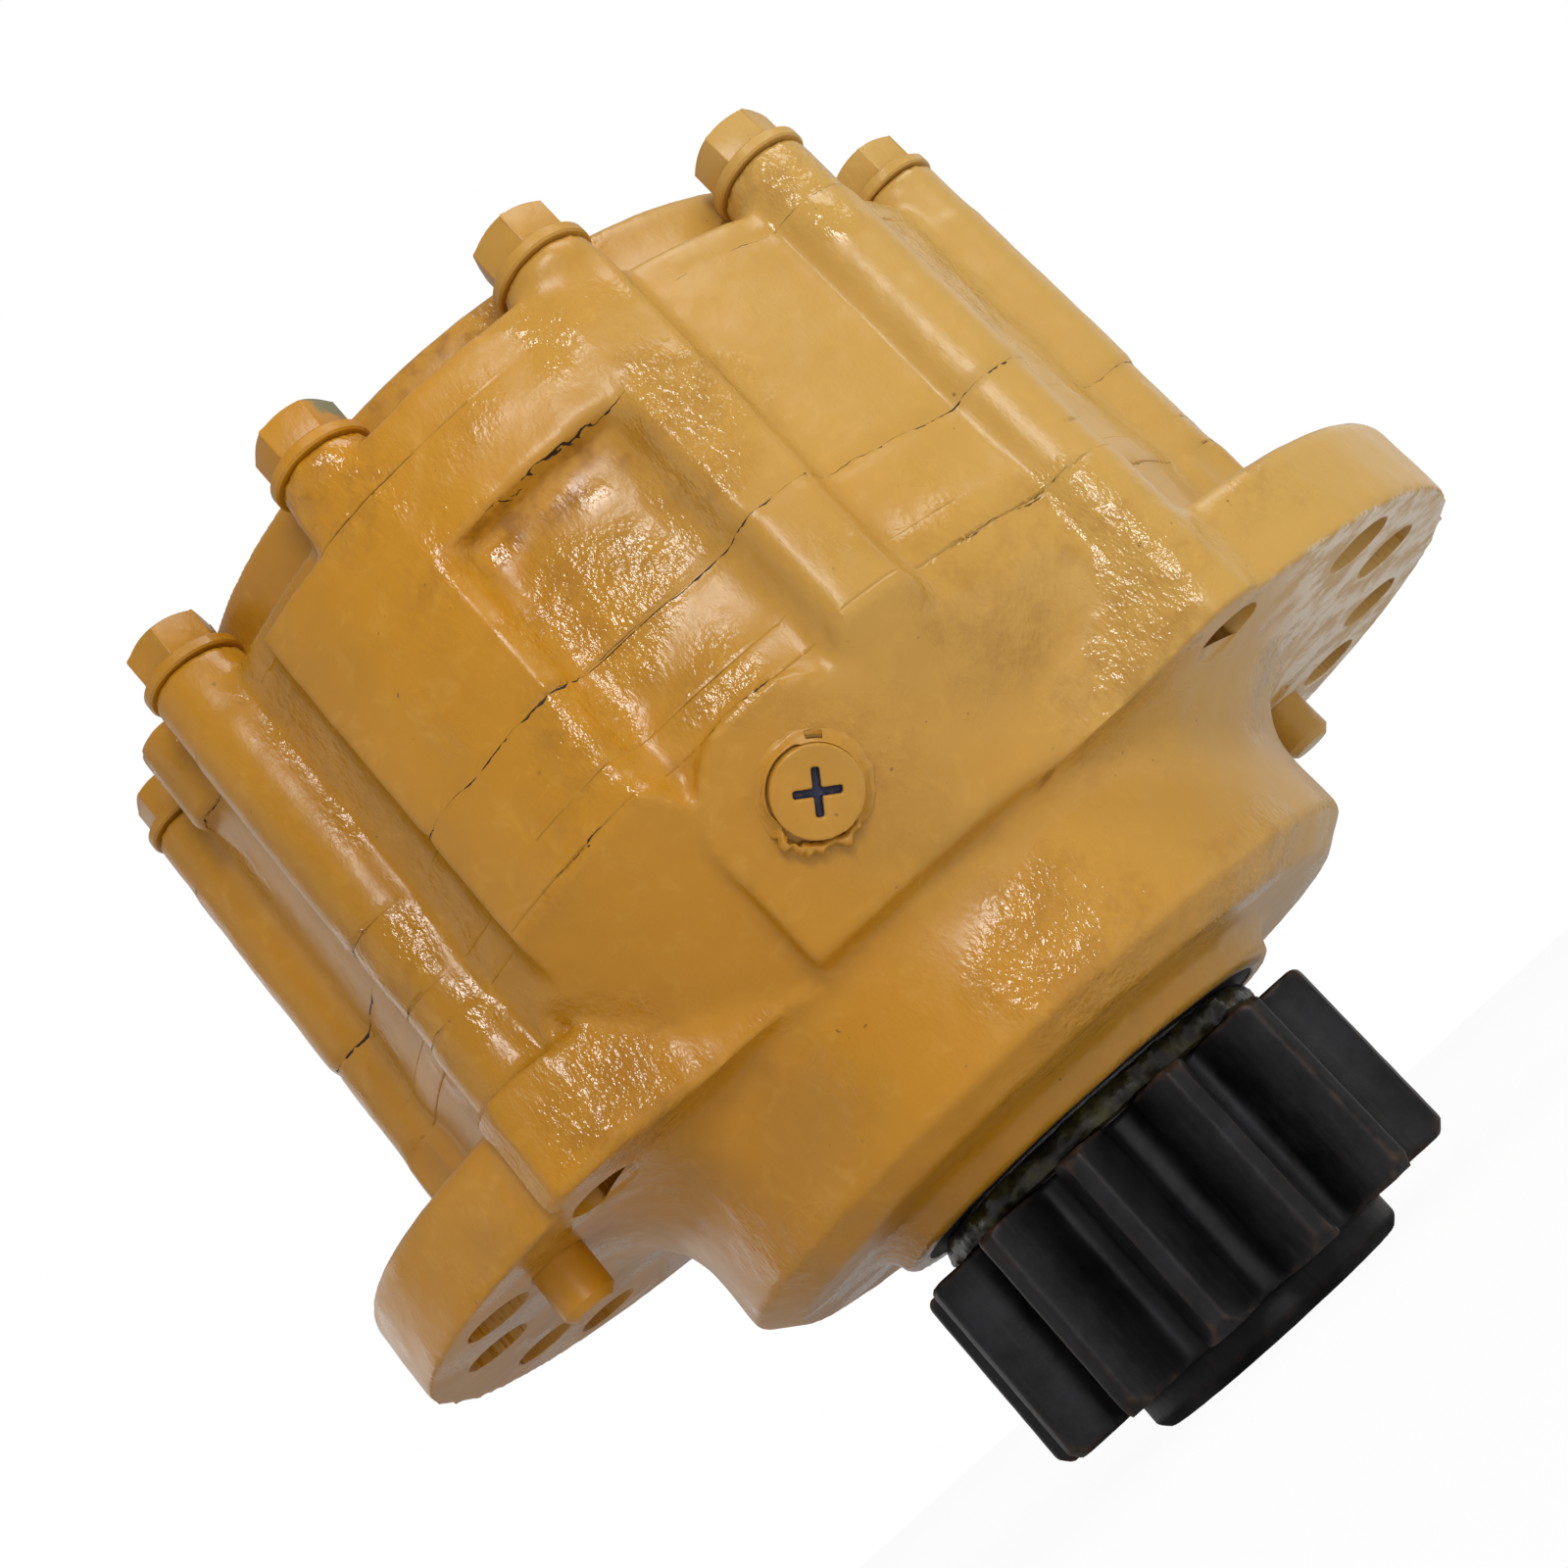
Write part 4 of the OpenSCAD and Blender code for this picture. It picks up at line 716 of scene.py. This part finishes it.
def paint_skin(sizes):
    """The outer skin of the whole bolted stack, softened and lumpy as sand casting under thick enamel is."""
    cad = [cad_copy(node) for node in HOUSINGS]
    combine(cad[0], cove_tool(), "DIFFERENCE")
    skin = grained(cad + plugs(), sizes.grain)
    mesh = skin.data
    edges, co = edges_of(mesh), points_of(mesh)
    x, y, z = co.T
    radius = np.hypot(x, y)
    # The lower edge of the flange's front, the outline of the oil boss and the left ear's wall stay crisp.
    mouth, out = np.array(PORT_MOUTH_MM), np.array(PORT_OUT)
    rim = np.linalg.norm(co - mouth - ((co - mouth) @ out)[:, None] * out, axis=1)
    boss_edge = eased(rim, 24, 27) * eased(-rim, -37, -34) * eased(-x, -14, -6) * (y < -108) * (z > -6)
    edge = np.abs(z) + np.abs(y + WALL_MM) + 100 * (np.abs(x) > WALL_HALF_MM)
    wall_top = eased(-np.abs(z - (EAR_TOP_MM - 0.1)), -5, -2.5) * (y < -112) * (x < -66)
    crisp = np.maximum(np.maximum(boss_edge, eased(-edge, -9, -4)), wall_top)[:, None]
    # Every edge is softened a little, but the turned nose and what is crisp keep most of theirs.
    turned = np.maximum(eased(-z, -2, 3)[:, None], 0.9 * crisp)
    for _ in range(sizes.edge_passes):
        share = 0.5 * (1 - 0.75 * turned)
        relax(co, edges, share)
        relax(co, edges, -1.04 * share)
    for _ in range(2):
        relax(co, edges, 0.5 * (1 - 0.8 * turned))
    # Right of the oil boss the casting runs out into the flange with no edge.
    beside = eased(x, 18, 26) * eased(-x, -100, -76) * eased(-y, 108, 114)
    beside = beside * eased(z, 3, 9) * eased(-z, -54, -40)
    for _ in range(60):
        relax(co, edges, 0.5 * beside[:, None])
    # Inner corners fill up, as they do in a sand mould, most of all between the walls and the flange.
    set_points(mesh, co)
    front = eased(np.abs(y), 112, 120) * eased(-x, -105, -90) * eased(x, -68, -50)
    front *= eased(z, 20, 30) * eased(-z, -60, -50)
    left_of_port = eased(-x, 24, 27) * eased(-y, 110, 116) * eased(-z, -50, -40)
    fill = np.where(z > 4, 0.35, 0.12) * eased(-z, -RIM_MM + 4, -RIM_MM + 10)
    fill = np.maximum(fill, front) * (1 - 0.85 * left_of_port)
    fill *= 1 - 0.95 * crisp[:, 0]
    fill *= 1 - eased(-radius, -128, -122) * eased(z, 178, 184)
    for _ in range(sizes.fill_passes):
        normal = normals_of(mesh)
        rise = ((averaged(co, edges) - co) * normal).sum(1)
        co += normal * (np.maximum(rise, 0) * fill * 0.8)[:, None]
        set_points(mesh, co)
    # Lumps: broad ones from the mould, small ones from the brush; machined faces stay true.
    normal = normals_of(mesh)
    height = 0.55 * lumps(co, 34, 1) + 0.45 * lumps(co, 13, 2) + 0.30 * lumps(co, 6, 3)
    rough_cast = eased(lumps(co, 48, 4), 0.2, 0.45)
    for *spot, reach in ROUGH_SPOTS:
        away = np.linalg.norm(co - np.array(spot), axis=1) / reach + 0.35 * lumps(co, 15, 13)
        rough_cast = np.maximum(rough_cast, eased(-away, -1.1, -0.6))
    height += rough_cast * 0.5 * lumps(co, 4.2, 5)
    flat = np.maximum(eased(-np.abs(z), -0.9, -0.3) * (normal[:, 2] < -0.8),
                      eased(z, RIM_MM - 0.9, RIM_MM - 0.3) * (normal[:, 2] > 0.8))
    co += normal * (height * (1 - 0.9 * flat))[:, None] * sizes.waviness / MM
    # The coat sinks a little where the castings meet, and more where it has cracked.
    turn = np.degrees(np.arctan2(x, -y)) % 360
    gape, wall = np.zeros(len(co)), eased(radius, 140, 146) * (np.abs(normal[:, 2]) < 0.7)
    for joint, start, end, width in CRACKS:
        along = (turn - start) % 360
        there = eased(along, 0, 3) * eased(-along, start - end, start - end + 3)
        near = (np.abs(z - joint) < 7) * (radius > (162.5 if joint == LIP_MM else 0))
        gape = np.maximum(gape, width * there * near)
    for joint, depth in zip(JOINTS_MM, DENTS_MM):
        uneven = depth * (0.6 + 0.6 * lumps(co, 26, 6)) + 0.6 * gape
        dent = np.exp(-((z - joint) / 1.7) ** 2) * wall * uneven
        co -= normal * dent[:, None]
    low, high = (np.array(corner) / MM for corner in CAD_BOX)
    co = np.clip(co, low + 0.02, high - 0.02)
    set_points(mesh, co)
    # Painted shade share: how far a point lies under the smoothed surface round it, so that hollows come out
    # darker, as shade would make them.
    depth = ((relaxed(co, edges, 40) - co) * normals_of(mesh)).sum(1)
    for _ in range(6):
        depth = averaged(depth, edges)
    # Painted shade under the lip that hangs over the front pocket.
    shade_under_lip = eased(z, 122, 134) * (radius < 165) * eased(-np.abs(x), -34, -20) * (y < -120)
    depth = np.maximum((depth - 0.25) / 1.8, 0.8 * shade_under_lip)
    # A darker line along the lower edge of the flange's front wall, where the wall turns under, joins the
    # same share.
    edge = np.abs(z + 0.5) + 0.5 * np.abs(y + (WALL_MM - 0.5)) + 100 * (np.abs(x) > WALL_HALF_MM)
    lower_edge_line = eased(-edge, -2.2, -0.6) * (0.4 + 0.6 * lumps(co, 9, 12))
    hollow_shade = np.clip(np.maximum(depth, lower_edge_line), 0, 1)
    under_ear = (np.abs(z) < 1.5) * (normal[:, 2] < -0.8) * eased(x, 120, 150)
    for name, values in zip(SHARES, (hollow_shade, rough_cast, gape, under_ear, np.zeros(len(co)))):
        store(mesh, name, values)
    return skin


def bare_bores(mesh, node):
    """Leaves the bores on the axis and the motor's pilot and tapped holes in bare iron, the rest painted."""
    x, y, z = read(mesh.polygons, "center").T.astype(float) / MM
    bare = np.hypot(x, y) < {"flange_housing": 66.4, "top_cover": 105.6}.get(node, 146)
    bare &= z > -64.3
    if node == "top_cover":
        for hole_x, hole_y in MOTOR_HOLES:
            bare |= (np.hypot(x - hole_x, y - hole_y) < 6.4) & (z < RIM_MM - 0.3)
    mesh.polygons.foreach_set("material_index", bare.astype(np.int32))
    mesh.update()


def cut_castings(skin, materials):
    """Parts the skin at the joints, and cuts each casting's own bores and holes into it."""
    levels = [-200.0] + JOINTS_MM + [400.0]
    for node, low, high in zip(HOUSINGS, levels, levels[1:]):
        voids = combine(union(hollows(node)), cad_copy(node), "DIFFERENCE")
        keep_zone = combine(rod(WIDE_MM, low, high, sides=12), voids, "DIFFERENCE")
        piece = combine(keep(skin.data.copy(), "piece"), keep_zone, "INTERSECT")
        finish_piece(piece, node + "_cast", "housing", materials, [node], node)
        bare_bores(piece.data, node)
    drop(skin)


# -------- pieces that repeat

def around_axis_tree():
    """Geometry Nodes: one part set on every point, each turned to face away from the axis."""
    tree = bpy.data.node_groups.new("parts set round the axis", "GeometryNodeTree")
    for name, kind in (("Geometry", "Geometry"), ("Part", "Object"), ("Sway", "Float"), ("Seed", "Int"),
                       ("Finish", "Material")):
        tree.interface.new_socket(name, in_out="INPUT", socket_type="NodeSocket" + kind)
    tree.interface.new_socket("Geometry", in_out="OUTPUT", socket_type="NodeSocketGeometry")
    given = add(tree, "NodeGroupInput").outputs
    where = add(tree, "ShaderNodeSeparateXYZ", in0=add(tree, "GeometryNodeInputPosition").outputs[0]).outputs
    facing = put(tree, "angle", where[1], where[0])
    sway = add(tree, "FunctionNodeRandomValue", {"data_type": "FLOAT"}, Seed=given["Seed"]).outputs[1]
    swing = put(tree, "times", put(tree, "less", sway, 0.5), given["Sway"])
    turn = add(tree, "ShaderNodeCombineXYZ", Z=put(tree, "plus", facing, swing))
    part = add(tree, "GeometryNodeObjectInfo", Object=given["Part"])
    placed = add(tree, "GeometryNodeInstanceOnPoints", Points=given["Geometry"],
                 Instance=part.outputs["Geometry"], Rotation=turn.outputs[0])
    real = add(tree, "GeometryNodeRealizeInstances", Geometry=placed.outputs[0])
    done = add(tree, "GeometryNodeSetMaterial", Geometry=real.outputs[0], Material=given["Finish"])
    add(tree, "NodeGroupOutput", Geometry=done.outputs[0])
    return tree


def set_round(tree, part, places, sway, seed, material, name):
    """Runs the tree over places (metres) and gives back a plain mesh piece; the part goes."""
    mesh = bpy.data.meshes.new(name)
    mesh.from_pydata(places, [], [])
    piece = keep(mesh, name)
    step = piece.modifiers.new("places", "NODES")
    step.node_group = tree
    values = {"Part": part, "Sway": sway, "Seed": seed, "Finish": material}
    for item in tree.interface.items_tree:
        if item.in_out == "INPUT" and item.name in values:
            step[item.identifier] = values[item.name]
    bake(piece)
    drop(part)
    return piece


def join(pieces):
    """One piece of many, with no boolean."""
    form = bmesh.new()
    for piece in pieces:
        form.from_mesh(piece.data)
    form.to_mesh(pieces[0].data)
    form.free()
    drop(*pieces[1:])
    return pieces[0]


def hex_bolt(shank_end_mm):
    """One hexagon bolt on the axis, seat at 0: chamfered head, soft with paint, and its shank."""
    head_low, head_high, half = 4.0, 16.5, 12.0
    corner = half / cos(pi / 6)
    hexagon = lathe("hexagon", [(0, head_low), (corner, head_low), (corner, head_high), (0, head_high)], 6)
    hexagon.data.transform(Matrix.Rotation(radians(-15), 4, "Z"))
    drop_mm = half * tan(radians(30))
    cap = lathe("cap", [(0, head_low - 1), (2 * half, head_low - 1), (2 * half, head_high - drop_mm),
                        (half - 0.6, head_high), (0, head_high)], 48)
    head = combine(hexagon, cap, "INTERSECT")
    # Coplanar faces are joined again, so that the bevel finds only the real edges.
    form = bmesh.new()
    form.from_mesh(head.data)
    bmesh.ops.dissolve_limit(form, angle_limit=radians(2), verts=form.verts, edges=form.edges)
    form.to_mesh(head.data)
    form.free()
    step = head.modifiers.new("round", "BEVEL")
    step.width, step.segments, step.angle_limit = 0.7 * MM, 3, radians(25)
    step.limit_method, step.use_clamp_overlap = "ANGLE", True
    bake(head)
    shank = lathe("shank", [(0, shank_end_mm), (7, shank_end_mm), (8, shank_end_mm + 1), (8, head_low + 0.5),
                            (0, head_low + 0.5)], 32)
    return combine(head, shank, "UNION")


def painted(piece, missed=None):
    """Gives a small painted piece the shares that the enamel reads, all 0 but where the enamel missed."""
    nothing = np.zeros(len(piece.data.vertices))
    for name in SHARES:
        store(piece.data, name, nothing if missed is None or name != "missed" else missed)
    return piece


def daylight(strength):
    """Even white light from all round; to the camera the world is white, and to reflections partly so."""
    world = bpy.data.worlds.new("soft daylight")
    world.use_nodes = True
    tree = world.node_tree
    tree.nodes.clear()
    seen = add(tree, "ShaderNodeLightPath").outputs
    even = add(tree, "ShaderNodeBackground", Color=(1, 1, 1, 1), Strength=strength)
    white = add(tree, "ShaderNodeBackground", Color=(1, 1, 1, 1), Strength=1.0)
    share = put(tree, "times", seen["Is Glossy Ray"], 0.15)
    share = put(tree, "most", share, seen["Is Transmission Ray"])
    share = put(tree, "most", share, seen["Is Camera Ray"])
    both = add(tree, "ShaderNodeMixShader", in0=share, in1=even.outputs[0], in2=white.outputs[0])
    add(tree, "ShaderNodeOutputWorld", Surface=both.outputs[0])
    return world


def torn_skirt():
    """A skirt of paint from the plug down to the boss, torn open below and left."""
    steps, rows, points, faces = 180, 9, [], []
    for k in range(steps):
        angle = 360 * k / steps
        turn = radians(angle)
        torn = float(eased(angle, 183, 192) * eased(-angle, -292, -280))
        split = float(eased(angle, 66, 76) * eased(-angle, -176, -166))
        jag = noise.noise(Vector((angle / 9, 3.1, 0.4))) + 0.5 * noise.noise(Vector((angle / 3.5, 1.7, 8.0)))
        inner = 12.5 + 0.55 * split + (0.7 + 0.5 * jag) * torn
        outer = 16.0 + 0.5 * jag * (1 - torn) + (0.2 + 2.0 * jag) * torn
        for j in range(rows):
            t = j / (rows - 1)
            reach = inner + (outer - inner) * t
            smooth = 0.1 + 3.3 * (1 - t) ** 1.6 - 0.9 * split * (1 - t)
            curl = 1.2 + 2.4 * sin(pi * (0.15 + 0.75 * t)) + 1.3 * jag * t
            rise = smooth * (1 - torn) + curl * torn
            rise += 0.25 * noise.noise(Vector((angle / 14, reach, 2.0)))
            points.append((reach * cos(turn) * MM, reach * sin(turn) * MM, rise * MM))
            hole = (abs(angle - 50) < 9 and 1 < j < 6) or (196 < angle < 214 and j < 3)
            if j < rows - 1 and not hole:
                a, b = k * rows + j, ((k + 1) % steps) * rows + j
                faces.append((a, b, b + 1, a + 1))
    sheet = bpy.data.meshes.new("sheet")
    sheet.from_pydata(points, [], faces)
    sheet.transform(PORT_PLACE)
    skirt = keep(sheet, "sheet")
    step = skirt.modifiers.new("coat", "SOLIDIFY")
    step.thickness, step.offset = 0.35 * MM, 0.0
    skirt.modifiers.new("soft", "SUBSURF").levels = 1
    return painted(bake(skirt))


# -------- operators

class SWING_OT_castings(bpy.types.Operator):
    """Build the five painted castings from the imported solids"""
    bl_idname = "swing.castings"
    bl_label = "Painted castings"

    def execute(self, context):
        coat = enamel(context.scene.swing_colours)
        cut_castings(paint_skin(context.scene.swing_castings), [coat, machined_iron()])
        return {"FINISHED"}


class SWING_OT_fasteners(bpy.types.Operator):
    """Set the body bolts and their washers round the cover"""
    bl_idname = "swing.fasteners"
    bl_label = "Bolts and washers"

    def execute(self, context):
        coat = bpy.data.materials[ENAMEL]
        tree = around_axis_tree()
        places = [(x * MM, y * MM, SEAT_MM * MM) for x, y in BOLTS]
        kinds = []
        for end_mm, short in ((33.0, False), (70.5, True)):
            spots = [p for k, p in enumerate(places) if (k in SHORT_BOLTS) == short]
            kinds.append(set_round(tree, hex_bolt(end_mm - SEAT_MM), spots, radians(7), 3, coat, "bolts"))
        bolts = join(kinds)
        # The left front bolt kept a grey green patch on the right of its head.
        x, y = places[11][:2]
        co = points_of(bolts.data)
        near = np.hypot(co[:, 0] - x / MM, co[:, 1] - y / MM) < 20
        painted(bolts, near * eased(co[:, 0] - x / MM, 5, 11) * eased(co[:, 2], 190, 198))
        finish_piece(bolts, "enamelled_bolts", "housing", [coat], ["body_bolts"], "body_bolts")
        ring = [(8.8, 0), (15.4, 0), (16, 0.6), (16, 3.2), (15.2, 4), (8.8, 4), (8.8, 0)]
        washers = painted(set_round(tree, lathe("washer", ring, 48), places, 0.0, 1, coat, "washers"))
        finish_piece(washers, "enamelled_washers", "housing", [coat], ["bolt_washers"], "bolt_washers")
        return {"FINISHED"}


class SWING_OT_pinion(bpy.types.Operator):
    """Build the output pinion with worn tooth edges, joined to its shaft"""
    bl_idname = "swing.pinion"
    bl_label = "Output pinion"

    def execute(self, context):
        # The pinion and what lies below this height get a fine soft skin; the shaft above it stays as it is.
        part_mm, wide_mm = -60, 200
        shaft = combine(cad_copy("pinion_shaft"), rod(wide_mm, part_mm, wide_mm, sides=12), "INTERSECT")
        skin = grained([cad_copy("pinion_shaft"), rod(5.6, -147.34, -120)], 0.0011)
        mesh = skin.data
        edges, co = edges_of(mesh), points_of(mesh)
        for _ in range(4):
            relax(co, edges, 0.4)
            relax(co, edges, -0.41)
        set_points(mesh, co)
        proud = ((co - relaxed(co, edges, 10)) * normals_of(mesh)).sum(1)
        store(mesh, "edge", np.clip(averaged(proud, edges) / 0.7, 0, 1))
        co += normals_of(mesh) * (0.08 * lumps(co, 5, 7) - 0.08)[:, None]
        set_points(mesh, co)
        combine(skin, rod(wide_mm, -wide_mm, part_mm + 0.5, sides=12), "INTERSECT")
        combine(skin, rod(5, -160, -133.4, sides=32), "DIFFERENCE")
        combine(skin, shaft, "UNION")
        finish_piece(skin, "pinion_and_shaft", "output_shaft", [oiled_steel()],
                     ["pinion_shaft"], "pinion_shaft")
        return {"FINISHED"}


class SWING_OT_neck(bpy.types.Operator):
    """Pack the neck between seal and pinion with old grease"""
    bl_idname = "swing.neck"
    bl_label = "Grease at the neck"

    def execute(self, context):
        outline = [(53.9, -73.3), (56, -73.35), (59, -73.3), (60.8, -72.5), (61.4, -71), (61.6, -69.5),
                   (61.4, -68), (61, -66.5), (60, -65.3), (57, -64.95), (53.9, -65)]
        ring = lathe("grease", outline + outline[:1], 360)
        co = points_of(ring.data)
        radius = np.hypot(co[:, 0], co[:, 1])
        free = eased(radius, 54, 57)
        swell = free * (1.6 * lumps(co, 14, 8) + 1.0 * lumps(co, 5, 9) + 0.6 * lumps(co, 2.5, 10))
        co[:, :2] *= (1 + swell / radius)[:, None]
        co[:, 2] = np.clip(co[:, 2] + 0.5 * lumps(co, 4, 11) * free, -73.38, -64.75)
        set_points(ring.data, co)
        finish_piece(ring, "neck_grease", "output_shaft", [grease()])
        return {"FINISHED"}


class SWING_OT_port(bpy.types.Operator):
    """Set the plug in the oil port, with the paint torn round it"""
    bl_idname = "swing.port"
    bl_label = "Oil plug and torn paint"

    def execute(self, context):
        coat = bpy.data.materials[ENAMEL]
        plug = grained([cad_copy("oil_plug")], 0.00045)
        mesh = plug.data
        edges, co = edges_of(mesh), points_of(mesh)
        for _ in range(8):
            relax(co, edges, 0.5)
            relax(co, edges, -0.5)
        set_points(mesh, co)
        painted(plug)
        # The slots stayed free of paint.
        back = PORT_PLACE.inverted()
        local = ((co * MM) @ np.array(back.to_3x3()).T + np.array(back.translation)) / MM
        sunk = (local[:, 2] < 4.75) & (np.hypot(local[:, 0], local[:, 1]) < 8)
        finish_piece(plug, "painted_plug", "housing", [coat, dark_nylon()], ["oil_plug"], "oil_plug", 0)
        for face in mesh.polygons:
            face.material_index = 1 if all(sunk[k] for k in face.vertices) else 0
        finish_piece(torn_skirt(), "torn_paint", "housing", [coat], (), None, 0)
        return {"FINISHED"}


class SWING_OT_finishes(bpy.types.Operator):
    """Give every inner part its real finish"""
    bl_idname = "swing.finishes"
    bl_label = "Inner finishes"

    def execute(self, context):
        finishes = {
            metal("hardened ground gear steel", "#6f6a62", "#8d8880", 0.22, 0.4, 1.1, 0.03): [
                "planet_a", "planet_b", "sun_a", "sun_b", "pins_a", "pins_b", "thrust_button"],
            metal("ground bearing steel", "#9a9c9e", "#b7b9bb", 0.12, 0.24, 0.5, 0.01): [
                "low_outer", "up_outer", "low_inner", "up_inner", "seal_sleeve", "needles", "low_rollers",
                "up_rollers"],
            metal("machined carrier iron", "#6b6a67", "#83807a", 0.35, 0.55, 2.0, 0.08): [
                "carrier", "bearing_nut", "bearing_spacer", "end_plate"],
            metal("oiled tin bronze", "#8a6434", "#a87f47", 0.25, 0.42, 1.5, 0.03): [
                "thrust_a", "thrust_b", "oil_plug_washer"],
            metal("phosphated spring steel", "#34363a", "#46494d", 0.4, 0.55, 1.0, 0.02): [
                "circlips", "end_screws"],
            nitrile(): ["shaft_seal", "dust_seal", "body_orings"],
            bpy.data.materials[ENAMEL]: ["locating_dowels"],
        }
        for finish, starts in finishes.items():
            for name, node in NODES.items():
                if name.startswith(tuple(starts)):
                    node.data.materials.clear()
                    node.data.materials.append(finish)
        return {"FINISHED"}


class SWING_OT_stage(bpy.types.Operator):
    """Lay the pale floor, light it softly and set the camera"""
    bl_idname = "swing.stage"
    bl_label = "Floor, light and camera"

    def execute(self, context):
        scene, sizes = context.scene, context.scene.swing_stage
        half, level = sizes.floor_size / 2, CAD_BOX[0][2]
        mesh = bpy.data.meshes.new("floor")
        mesh.from_pydata([(-half, -half, level), (half, -half, level), (half, half, level),
                          (-half, half, level)], [], [(0, 1, 2, 3)])
        floor = keep(mesh, "floor")
        mesh.materials.append(pale_floor())
        scene.world = daylight(sizes.daylight)
        for name, (place, width, power) in LAMPS.items():
            light = bpy.data.lights.new(name, "AREA")
            light.shape, light.size, light.energy = "DISK", width, sizes.key_power * power
            lamp = bpy.data.objects.new(name, light)
            scene.collection.objects.link(lamp)
            lamp.location = place
            lamp.visible_glossy = name != "fill"
            lamp.rotation_euler = (Vector(AIM) - Vector(place)).to_track_quat("-Z", "Y").to_euler()
        lens = bpy.data.cameras.new("camera")
        lens.sensor_width, lens.lens = 36.0, LENS_MM
        camera = bpy.data.objects.new("camera", lens)
        scene.collection.objects.link(camera)
        cosine, sine = ROLL
        across, over = cosine * LEVEL_RIGHT - sine * LEVEL_UP, sine * LEVEL_RIGHT + cosine * LEVEL_UP
        turned = Matrix((across, over, across.cross(over))).transposed().to_4x4()
        camera.matrix_world = Matrix.Translation(CAMERA_AT) @ turned
        scene.camera = camera
        scene.view_settings.view_transform = "Standard"
        return {"FINISHED"}


class SWING_PT_panel(bpy.types.Panel):
    """Sizes, colours and steps of the swing drive"""
    bl_idname = "SWING_PT_panel"
    bl_label = "Swing Drive"
    bl_space_type = "VIEW_3D"
    bl_region_type = "UI"
    bl_category = "Swing Drive"

    def draw(self, context):
        for group in GROUPS:
            sizes = getattr(context.scene, group)
            box = self.layout.box()
            for name in sizes.__annotations__:
                box.prop(sizes, name)
        for step in STEPS:
            self.layout.operator(step.bl_idname)


GROUPS = {"swing_castings": CastingSizes, "swing_colours": FinishColours, "swing_stage": StageSizes}
STEPS = [SWING_OT_castings, SWING_OT_fasteners, SWING_OT_pinion, SWING_OT_neck, SWING_OT_port,
         SWING_OT_finishes, SWING_OT_stage]


def register():
    for kind in [*GROUPS.values(), *STEPS, SWING_PT_panel]:
        bpy.utils.register_class(kind)
    for name, kind in GROUPS.items():
        setattr(bpy.types.Scene, name, PointerProperty(type=kind))


def unregister():
    for name in GROUPS:
        delattr(bpy.types.Scene, name)
    for kind in reversed([*GROUPS.values(), *STEPS, SWING_PT_panel]):
        bpy.utils.unregister_class(kind)


def main():
    register()
    for step in STEPS:
        family, name = step.bl_idname.split(".")
        getattr(getattr(bpy.ops, family), name)()


if __name__ == "__main__":
    main()
